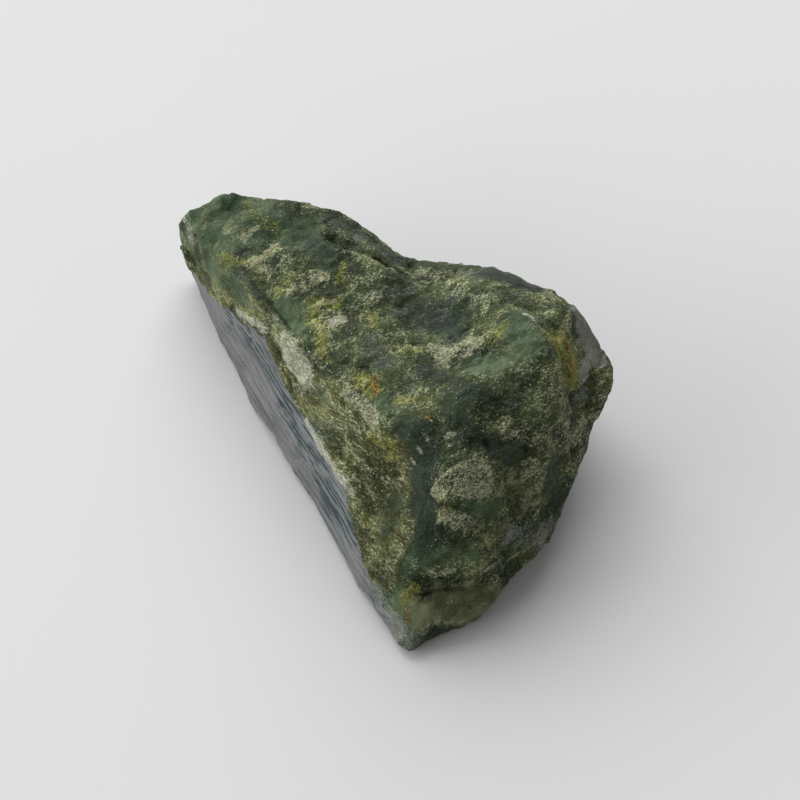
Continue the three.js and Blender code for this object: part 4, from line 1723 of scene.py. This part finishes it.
EDGES = {
    Tint.JADE: Edge(Tear.PATCHY, 0.7, (0.2, 0.8)),
    Tint.SHADE: Edge(Tear.PATCHY, 0.9, (0.2, 0.8)),
    Tint.MOSS: Edge(Tear.RIPPLE, 0.9, (0.3, 0.8)),
    Tint.CHALK: Edge(Tear.RIPPLE, 0.9, (0.3, 0.8)),
    Tint.RUST: Edge(Tear.GRAIN, 0.9, (0.3, 0.9)),
    Tint.CREAM: Edge(Tear.GRAIN, 0.5, (0.4, 0.62)),
    Tint.PALE: Edge(Tear.GRAIN, 0.6, (0.25, 0.95)),
    Tint.SLATE: Edge(Tear.RIPPLE, 0.5, (0.35, 0.6)),
    Tint.ASH: Edge(Tear.RIPPLE, 0.7, (0.3, 0.7)),
    Tint.HONEY: Edge(Tear.RIPPLE, 0.8, (0.25, 0.75)),
}


class Tone(Enum):
    """The noises that take a pigment from deep to light."""

    MOTTLE = "soft patches"
    FLECK = "bright grains"
    CLEAR = "soft patches with some bright grains"
    MIXED = "bright grains with some soft patches"
    CRUMB = "close crumbs"


@dataclass(frozen=True)
class Coat:
    """A pigment that is laid over the stone wherever one finish covers it.

    Attributes:
        tint: The finish.
        pigment: Its pigment.
        tone: What takes the pigment from deep to light.
        strength: How well it covers, from 0 to 1.
    """

    tint: Tint
    pigment: Pigment
    tone: Tone
    strength: float


COATS = (
    Coat(Tint.JADE, GREEN, Tone.CLEAR, 0.85),
    Coat(Tint.SHADE, DUSK, Tone.MIXED, 0.85),
    Coat(Tint.MOSS, OCHRE, Tone.MIXED, 0.85),
    Coat(Tint.CHALK, CHALK, Tone.CRUMB, 0.9),
    Coat(Tint.CREAM, CREAM, Tone.CRUMB, 0.85),
    Coat(Tint.RUST, STAIN, Tone.FLECK, 0.8),
    Coat(Tint.HONEY, HONEY, Tone.MOTTLE, 0.9),
    Coat(Tint.ASH, ASH, Tone.MIXED, 0.9),
)


# Roughness, strength of the reflection and share of the light that seeps in, where a finish
# covers in full. A later finish lies over the earlier ones.
ROUGHNESS = {Tint.JADE: 0.42, Tint.SHADE: 0.40, Tint.MOSS: 0.75, Tint.CHALK: 0.85, Tint.SLATE: 0.36}
SHINE = {Tint.SHADE: 0.042, Tint.SLATE: 0.06}
SEEP = {Tint.JADE: 0.35, Tint.HONEY: 0.3, Tint.PALE: 0.3}


@dataclass(frozen=True)
class PaintedGlints:
    """Painted glints: specks of one size on the grainy skin, painted near white as highlights.

    Attributes:
        size: Distance between the places where one may lie, in mm.
        luck: Random value from 0 to 1 from which a place has one.
        reach: Radius of the largest, as a share of that distance.
        least: Radius of the smallest, as a share of the largest.
        edge: Width of the soft edge, as a share of that distance.
        sharp: How soon after luck a place has one in full.
        tooth: How grainy the skin is where they start and where they are in full.
        faint: Strength of the faintest.
    """

    size: float
    luck: float
    reach: float
    least: float = 0.4
    edge: float = 0.12
    sharp: float = 0.01
    tooth: Span = (0.1, 0.7)
    faint: float = 0.3

    def share(self, bench: Bench, where: Socket) -> Socket:
        """Returns the grains' share over the stone, at coordinates in metres."""
        distance, (luck, size, bright) = bench.grains(where, self.size)
        lucky = bench.step(luck, (self.luck, self.luck + self.sharp))
        least = self.reach * self.least
        radius = bench.math("MULTIPLY_ADD", size, self.reach * (1 - self.least), least)
        dot = bench.step(bench.math("SUBTRACT", radius, distance), (0.0, self.edge))
        tooth = bench.step(bench.tint(Tint.TOOTH), self.tooth)
        strength = bench.math("MULTIPLY_ADD", bright, 1 - self.faint, self.faint)
        return bench.times(bench.times(lucky, dot), bench.times(tooth, strength))


PAINTED_GLINTS = (PaintedGlints(0.46, 0.92, 0.24), PaintedGlints(0.27, 0.93, 0.3), PaintedGlints(0.2, 0.9, 0.36))


@dataclass(frozen=True)
class SlateStreaks:
    """The streaks of the smooth side's colour.

    Attributes:
        fabric: How they run.
        thin: The noise of the thin ones.
        thin_span: Values of that noise at which they start and are in full.
        wide: The noise of the wide ones.
        wide_span: Values of that noise at which they start and are in full.
        wide_share: Share of the wide ones in the lines of the pale stone.
        grain_share: Share of the grain, against those lines.
        dark_grain_share: Share of the grain, against the thin streaks, in the dark band.
        dark_span: Values at which the dark band is deep and light.
        band_sway: How far the wide streaks shift the dark band's edge.
        band_span: Values at which the dark band starts and is in full.
    """

    fabric: Fabric = Fabric(SIDE_ALONG, 20.0)
    thin: Mist = Mist(0.32, 3, 0.7)
    thin_span: Span = (0.42, 0.58)
    wide: Mist = Mist(1.9, 3)
    wide_span: Span = (0.34, 0.66)
    wide_share: float = 0.4
    grain_share: float = 0.35
    dark_grain_share: float = 0.2
    dark_span: Span = (0.1, 0.9)
    band_sway: float = 0.5
    band_span: Span = (0.35, 0.85)

    def colour(self, bench: Bench, weave: Weave) -> Socket:
        """Returns the smooth side's colour: grey, with long blue-grey streaks and a dark band."""
        drawn = bench.squeeze(weave.where, self.fabric)
        thin = bench.step(bench.noise(drawn, self.thin), self.thin_span)
        wide = bench.step(bench.noise(drawn, self.wide), self.wide_span)
        lines = bench.blend(self.wide_share, thin, wide)
        pale = bench.pigment(SLATE, bench.blend(self.grain_share, lines, weave.grain))
        depth = bench.step(bench.blend(self.dark_grain_share, thin, weave.grain), self.dark_span)
        sway = bench.math("MULTIPLY_ADD", wide, self.band_sway, bench.tint(Tint.SHADE))
        return bench.mix(bench.step(sway, self.band_span), pale, bench.pigment(STREAK, depth))


@dataclass(frozen=True)
class RoughStone:
    """The stone's finish: waxy green, olive, chalk, stains and the slate-grey smooth side.

    A span gives the values at which something starts and is in full. A share tells how much of the
    second of two things is in their mix.

    Attributes:
        index: Refractive index.
        clear_depth: How far light seeps into the clear parts, in mm.
        seep_radius: How far red, green and blue seep, as shares of clear_depth.
        grain_bump: Height of the finest grains, in mm.
        top_fabric: How the top is drawn out.
        flank_fabric: How the flank is drawn out.
        broad: The broad noise.
        patchy: The patchy noise on the top and on the flank.
        fine: The fine noise on the top and on the flank.
        grit: Size of the grit on the top and on the flank, in mm.
        contrast: Span of a raw noise.
        grit_share: Share of grit in the grain.
        grain_share: Share of grain in the ripple that tears edges.
        fine_flecks: Span of the fine noise in which bright flecks lie.
        grit_flecks: Span of the grit in which bright flecks lie.
        mottle_share: Share of the patchy noise in the soft patches.
        mottle_span: Span of the soft patches.
        clear_flecks: Share of flecks, against soft patches, in the clear tone.
        mixed_flecks: The same in the mixed tone.
        crumb_share: Share of crumbs, against soft patches, in the crumbly tone.
        crumb_span: Span of the close crumbs.
        calm_hold: How far the clear and the dark finish keep olive and flecks away.
        olive_share: Share of the patchy noise in the olive patches.
        olive_span: Span of the olive patches.
        olive_strength: How well olive covers the top, and how much better the flank.
        cluster_share: Share of the broad noise in the flecks' clusters.
        cluster_span: Span of the clusters.
        haze: Strength of the bright flecks outside and inside the clusters.
        pale_strength: How well the pale finish covers.
        painted_shade_span: Span of the hollows that are painted darker, as painted shade.
        painted_shade_strength: How dark the painted shade in the hollows is.
        slate: The streaks of the smooth side.
        dry_span: Span of the fine noise that makes the ground drier.
        dry: Roughness of the ground, at least and at most.
        shine: Strength of the ground's reflection.
        seep: Share of the light that seeps into the ground.
        bump_grit: Share of grit in the finest relief.
        bump_depth: Strength of the finest relief on worn and on grainy skin.
        smooth_bump: The same on the smooth side.
    """

    index: float = 1.6
    clear_depth: float = 0.9
    seep_radius: Vec3 = (0.6, 1.0, 0.5)
    grain_bump: float = 0.08
    top_fabric: Fabric = Fabric(TOP_ALONG, 1.8)
    flank_fabric: Fabric = Fabric(FLANK_ALONG, 3.0)
    broad: Mist = Mist(4.5, 4)
    patchy: tuple[Mist, Mist] = (Mist(1.3, 5), Mist(1.0, 5))
    fine: tuple[Mist, Mist] = (Mist(0.16, 2, 0.8), Mist(0.13, 2, 0.8))
    grit: Span = (0.135, 0.115)
    contrast: Span = (0.28, 0.72)
    grit_share: float = 0.5
    grain_share: float = 0.6
    fine_flecks: Span = (0.55, 0.9)
    grit_flecks: Span = (0.74, 0.9)
    mottle_share: float = 0.4
    mottle_span: Span = (0.2, 0.8)
    clear_flecks: float = 0.35
    mixed_flecks: float = 0.65
    crumb_share: float = 0.75
    crumb_span: Span = (0.25, 0.8)
    calm_hold: float = 0.75
    olive_share: float = 0.35
    olive_span: Span = (0.3, 0.9)
    olive_strength: Span = (0.2, 0.2)
    cluster_share: float = 0.3
    cluster_span: Span = (0.38, 0.82)
    haze: Span = (0.13, 0.88)
    pale_strength: float = 0.85
    painted_shade_span: Span = (0.5, 0.9)
    painted_shade_strength: float = 0.5
    slate: SlateStreaks = SlateStreaks()
    dry_span: Span = (0.35, 0.65)
    dry: Span = (0.45, 0.65)
    shine: float = 0.032
    seep: float = 0.06
    bump_grit: float = 0.4
    bump_depth: Span = (0.2, 1.0)
    smooth_bump: float = 0.12

    def make(self) -> bpy.types.Material:
        """Makes the material.

        Returns:
            The material for the skin.
        """
        material = bpy.data.materials.new("rough_green_stone")
        material.use_nodes = True
        bench = Bench(material.node_tree)
        weave = self._weave(bench)
        cover = self._cover(bench, weave)
        shader = bench.add("ShaderNodeBsdfPrincipled")
        bench.join(self._colour(bench, weave, cover), shader.inputs["Base Color"])
        dry = bench.blend(bench.step(weave.fine, self.dry_span), *self.dry)
        for name, ground, values in (
            ("Roughness", dry, ROUGHNESS),
            ("Specular IOR Level", self.shine, SHINE),
            ("Subsurface Weight", self.seep, SEEP),
        ):
            bench.join(self._laid(bench, cover, ground, values), shader.inputs[name])
        shader.inputs["Subsurface Radius"].default_value = self.seep_radius
        shader.inputs["Subsurface Scale"].default_value = self.clear_depth * MM
        shader.inputs["IOR"].default_value = self.index
        bench.join(self._bump(bench, weave, cover), shader.inputs["Normal"])
        output = bench.add("ShaderNodeOutputMaterial")
        bench.join(shader.outputs["BSDF"], output.inputs["Surface"])
        return material

    def _weave(self, bench: Bench) -> Weave:
        """Makes the noises, drawn out along the fabric of the top and of the flank."""
        where = bench.add("ShaderNodeTexCoord").outputs["Object"]
        top = bench.squeeze(where, self.top_fabric)
        side = bench.squeeze(where, self.flank_fabric)
        flank = bench.tint(Tint.FLANK)
        pairs = [
            bench.blend(flank, bench.noise(top, mists[0]), bench.noise(side, mists[1]))
            for mists in (self.patchy, self.fine)
        ]
        noises = [bench.noise(where, self.broad), *pairs]
        broad, patchy, fine = (bench.step(noise, self.contrast) for noise in noises)
        top_grit = bench.grains(top, self.grit[0])[1][0]
        side_grit = bench.grains(side, self.grit[1])[1][0]
        grit = bench.blend(flank, top_grit, side_grit)
        return Weave(where, broad, patchy, fine, grit, bench.blend(self.grit_share, fine, grit))

    def _cover(self, bench: Bench, weave: Weave) -> Cover:
        """Works out each finish's share, with torn edges.

        Args:
            bench: The workbench.
            weave: The fabric's noises.

        Returns:
            Shares from 0 to 1.
        """
        tears = {
            Tear.PATCHY: weave.patchy,
            Tear.RIPPLE: bench.blend(self.grain_share, weave.patchy, weave.grain),
            Tear.GRAIN: weave.grain,
        }
        cover = {}
        for tint, edge in EDGES.items():
            shift = bench.math("MULTIPLY_ADD", tears[edge.tear], edge.depth, -edge.depth / 2)
            cover[tint] = bench.step(bench.math("ADD", bench.tint(tint), shift), edge.span)
        return cover

    def _tones(self, bench: Bench, weave: Weave) -> dict[Tone, Socket]:
        """Returns the noises that take the pigments from deep to light."""
        fine = bench.step(weave.fine, self.fine_flecks)
        fleck = bench.math("ADD", fine, bench.step(weave.grit, self.grit_flecks), clamp=True)
        patches = bench.blend(self.mottle_share, weave.broad, weave.patchy)
        mottle = bench.step(patches, self.mottle_span)
        crumbs = bench.step(weave.grain, self.crumb_span)
        return {
            Tone.MOTTLE: mottle,
            Tone.FLECK: fleck,
            Tone.CLEAR: bench.blend(self.clear_flecks, mottle, fleck),
            Tone.MIXED: bench.blend(self.mixed_flecks, mottle, fleck),
            Tone.CRUMB: bench.blend(self.crumb_share, mottle, crumbs),
        }

    def _colour(self, bench: Bench, weave: Weave, cover: Cover) -> Socket:
        """Lays the pigments over one another.

        Args:
            bench: The workbench.
            weave: The fabric's noises.
            cover: Each finish's share.

        Returns:
            The colour.
        """
        tones = self._tones(bench, weave)
        colour = self._ground(bench, weave, tones)
        for coat in COATS:
            share = bench.times(cover[coat.tint], coat.strength)
            colour = bench.mix(share, colour, bench.pigment(coat.pigment, tones[coat.tone]))
        colour = bench.mix(cover[Tint.SLATE], colour, self.slate.colour(bench, weave))
        share = bench.times(cover[Tint.PALE], self.pale_strength)
        colour = bench.mix(share, colour, bench.pigment(CLOUD, tones[Tone.MIXED]))
        # Painted highlights: glints laid into the colour.
        for painted_glints in PAINTED_GLINTS:
            colour = bench.mix(painted_glints.share(bench, weave.where), colour, PAINTED_GLINT)
        # Painted shade: hollows, cracks and painted-shade patches darkened towards near-black.
        painted_shade = bench.times(bench.step(bench.share(HOLLOW), self.painted_shade_span), self.painted_shade_strength)
        return bench.mix(bench.math("MAXIMUM", painted_shade, bench.tint(Tint.SHADE_PAINT)), colour, PAINTED_SHADE_COLOUR)

    def _ground(self, bench: Bench, weave: Weave, tones: dict[Tone, Socket]) -> Socket:
        """Returns the colour under all coats: dark green, crust on the flank, olive and flecks."""
        clear = bench.math("MAXIMUM", bench.tint(Tint.JADE), bench.tint(Tint.SHADE))
        restless = bench.math("SUBTRACT", 1.0, bench.times(clear, self.calm_hold), clamp=True)
        flank = bench.tint(Tint.FLANK)
        base = bench.pigment(BASE, tones[Tone.MOTTLE])
        colour = bench.mix(flank, base, bench.pigment(CRUST, tones[Tone.CLEAR]))
        patches = bench.blend(self.olive_share, weave.broad, weave.patchy)
        strength = bench.math("MULTIPLY_ADD", flank, self.olive_strength[1], self.olive_strength[0])
        olive = bench.times(bench.step(patches, self.olive_span), strength)
        colour = bench.mix(bench.times(olive, restless), colour, bench.pigment(OCHRE, tones[Tone.MIXED]))
        clusters = bench.blend(self.cluster_share, weave.patchy, weave.broad)
        haze = bench.blend(bench.step(clusters, self.cluster_span), *self.haze)
        return bench.mix(bench.times(bench.times(haze, tones[Tone.FLECK]), restless), colour, BLOOM)

    def _laid(self, bench: Bench, cover: Cover, ground: object, values: dict[Tint, float]) -> Socket:
        """Returns a value over the stone: the ground's, with each finish's own laid over it."""
        for tint, value in values.items():
            ground = bench.blend(cover[tint], ground, value)
        return ground

    def _bump(self, bench: Bench, weave: Weave, cover: Cover) -> Socket:
        """Returns the normal with the grains that are finer than the mesh."""
        height = bench.blend(self.bump_grit, weave.fine, weave.grit)
        depth = bench.blend(bench.tint(Tint.TOOTH), *self.bump_depth)
        depth = bench.blend(cover[Tint.SLATE], depth, self.smooth_bump)
        bump = bench.add("ShaderNodeBump")
        bump.inputs["Distance"].default_value = self.grain_bump * MM
        bench.join(depth, bump.inputs["Strength"])
        bench.join(height, bump.inputs["Height"])
        return bump.outputs["Normal"]


# ---- The studio ----


@dataclass(frozen=True)
class SoftWindow:
    """A wide, even window of light that faces the stone.

    Attributes:
        name: Its name.
        azimuth: Where it stands, in degrees from +X towards +Y.
        elevation: Its middle's height above the horizon, in degrees.
        width: Its width, in mm.
        height: Its height, in mm.
        brightness: Its radiance, in watts per square metre and steradian.
        colour: Its colour.
        distance: From the stone, in mm.
    """

    name: str
    azimuth: float
    elevation: float
    width: float
    height: float
    brightness: float
    colour: Vec3 = (1.0, 1.0, 1.0)
    distance: float = 1500.0

    def build(self) -> bpy.types.Object:
        """Makes the light, turned towards the stone.

        Returns:
            The light object.
        """
        data = bpy.data.lights.new(self.name, "AREA")
        data.shape = "RECTANGLE"
        data.size = self.width * MM
        data.size_y = self.height * MM
        data.energy = math.pi * self.brightness * data.size * data.size_y
        data.color = self.colour
        light = bpy.data.objects.new(self.name, data)
        turn, rise = math.radians(self.azimuth), math.radians(self.elevation)
        out = Vector((math.cos(turn) * math.cos(rise), math.sin(turn) * math.cos(rise), math.sin(rise)))
        light.location = out * self.distance * MM
        light.rotation_mode = "QUATERNION"
        light.rotation_quaternion = out.to_track_quat("Z", "Y")
        light.visible_camera = False
        bpy.context.scene.collection.objects.link(light)
        return light


@dataclass(frozen=True)
class Studio:
    """A pale plain floor, a dim room and soft windows.

    Attributes:
        floor_side: Side of the floor, in mm.
        floor_colour: Its colour.
        floor_rough: Its roughness.
        floor_shine: Strength of its reflection.
        room_colour: Colour of the room's light.
        room_strength: Strength of the room's light.
        lights: The lights.
    """

    floor_side: float = 4800.0
    floor_colour: Colour = (0.74, 0.74, 0.75, 1)
    floor_rough: float = 0.9
    floor_shine: float = 0.1
    room_colour: Colour = (1.0, 1.0, 1.0, 1)
    room_strength: float = 0.17
    lights: tuple[SoftWindow, ...] = (
        SoftWindow("back_window", 102.0, 31.0, 1850.0, 1780.0, 3.65),
        SoftWindow("left_window", 182.0, 17.0, 2350.0, 880.0, 3.6),
        SoftWindow("front_soft_window", 255.0, 12.0, 1600.0, 640.0, 0.7),
        SoftWindow("right_soft_window", 340.0, 16.0, 1400.0, 700.0, 0.45),
    )

    def build(self) -> bpy.types.Object:
        """Makes the floor, the lights and the room.

        Returns:
            The floor.
        """
        for light in self.lights:
            light.build()
        self._room()
        return self._floor()

    def _room(self) -> None:
        """Lights the scene from all round."""
        world = bpy.data.worlds.new("pale_room")
        world.use_nodes = True
        back = world.node_tree.nodes["Background"]
        back.inputs["Color"].default_value = self.room_colour
        back.inputs["Strength"].default_value = self.room_strength
        bpy.context.scene.world = world

    def _floor(self) -> bpy.types.Object:
        """Returns the plain floor."""
        half = self.floor_side * MM / 2
        corners = [(-half, -half, 0), (half, -half, 0), (half, half, 0), (-half, half, 0)]
        mesh = bpy.data.meshes.new("floor")
        mesh.from_pydata(corners, [], [(0, 1, 2, 3)])
        floor = bpy.data.objects.new("floor", mesh)
        bpy.context.scene.collection.objects.link(floor)
        material = bpy.data.materials.new("plain_paper")
        material.use_nodes = True
        shader = material.node_tree.nodes["Principled BSDF"]
        shader.inputs["Base Color"].default_value = self.floor_colour
        shader.inputs["Roughness"].default_value = self.floor_rough
        shader.inputs["Specular IOR Level"].default_value = self.floor_shine
        mesh.materials.append(material)
        return floor


# ---- Putting it together ----


def main() -> None:
    """Builds the view, the stone and the studio, in that order."""
    logging.basicConfig(level=logging.INFO, format="%(name)s: %(message)s")
    bpy.context.scene.view_settings.view_transform = "Standard"
    view = MainView()
    view.build()
    stone = StoneSkin(view)
    skin = stone.build()
    stone.dress(skin, RoughStone().make())
    LOG.info("rough_skin: %d points, %d faces", len(skin.data.vertices), len(skin.data.polygons))
    Studio().build()


if __name__ == "__main__":
    main()
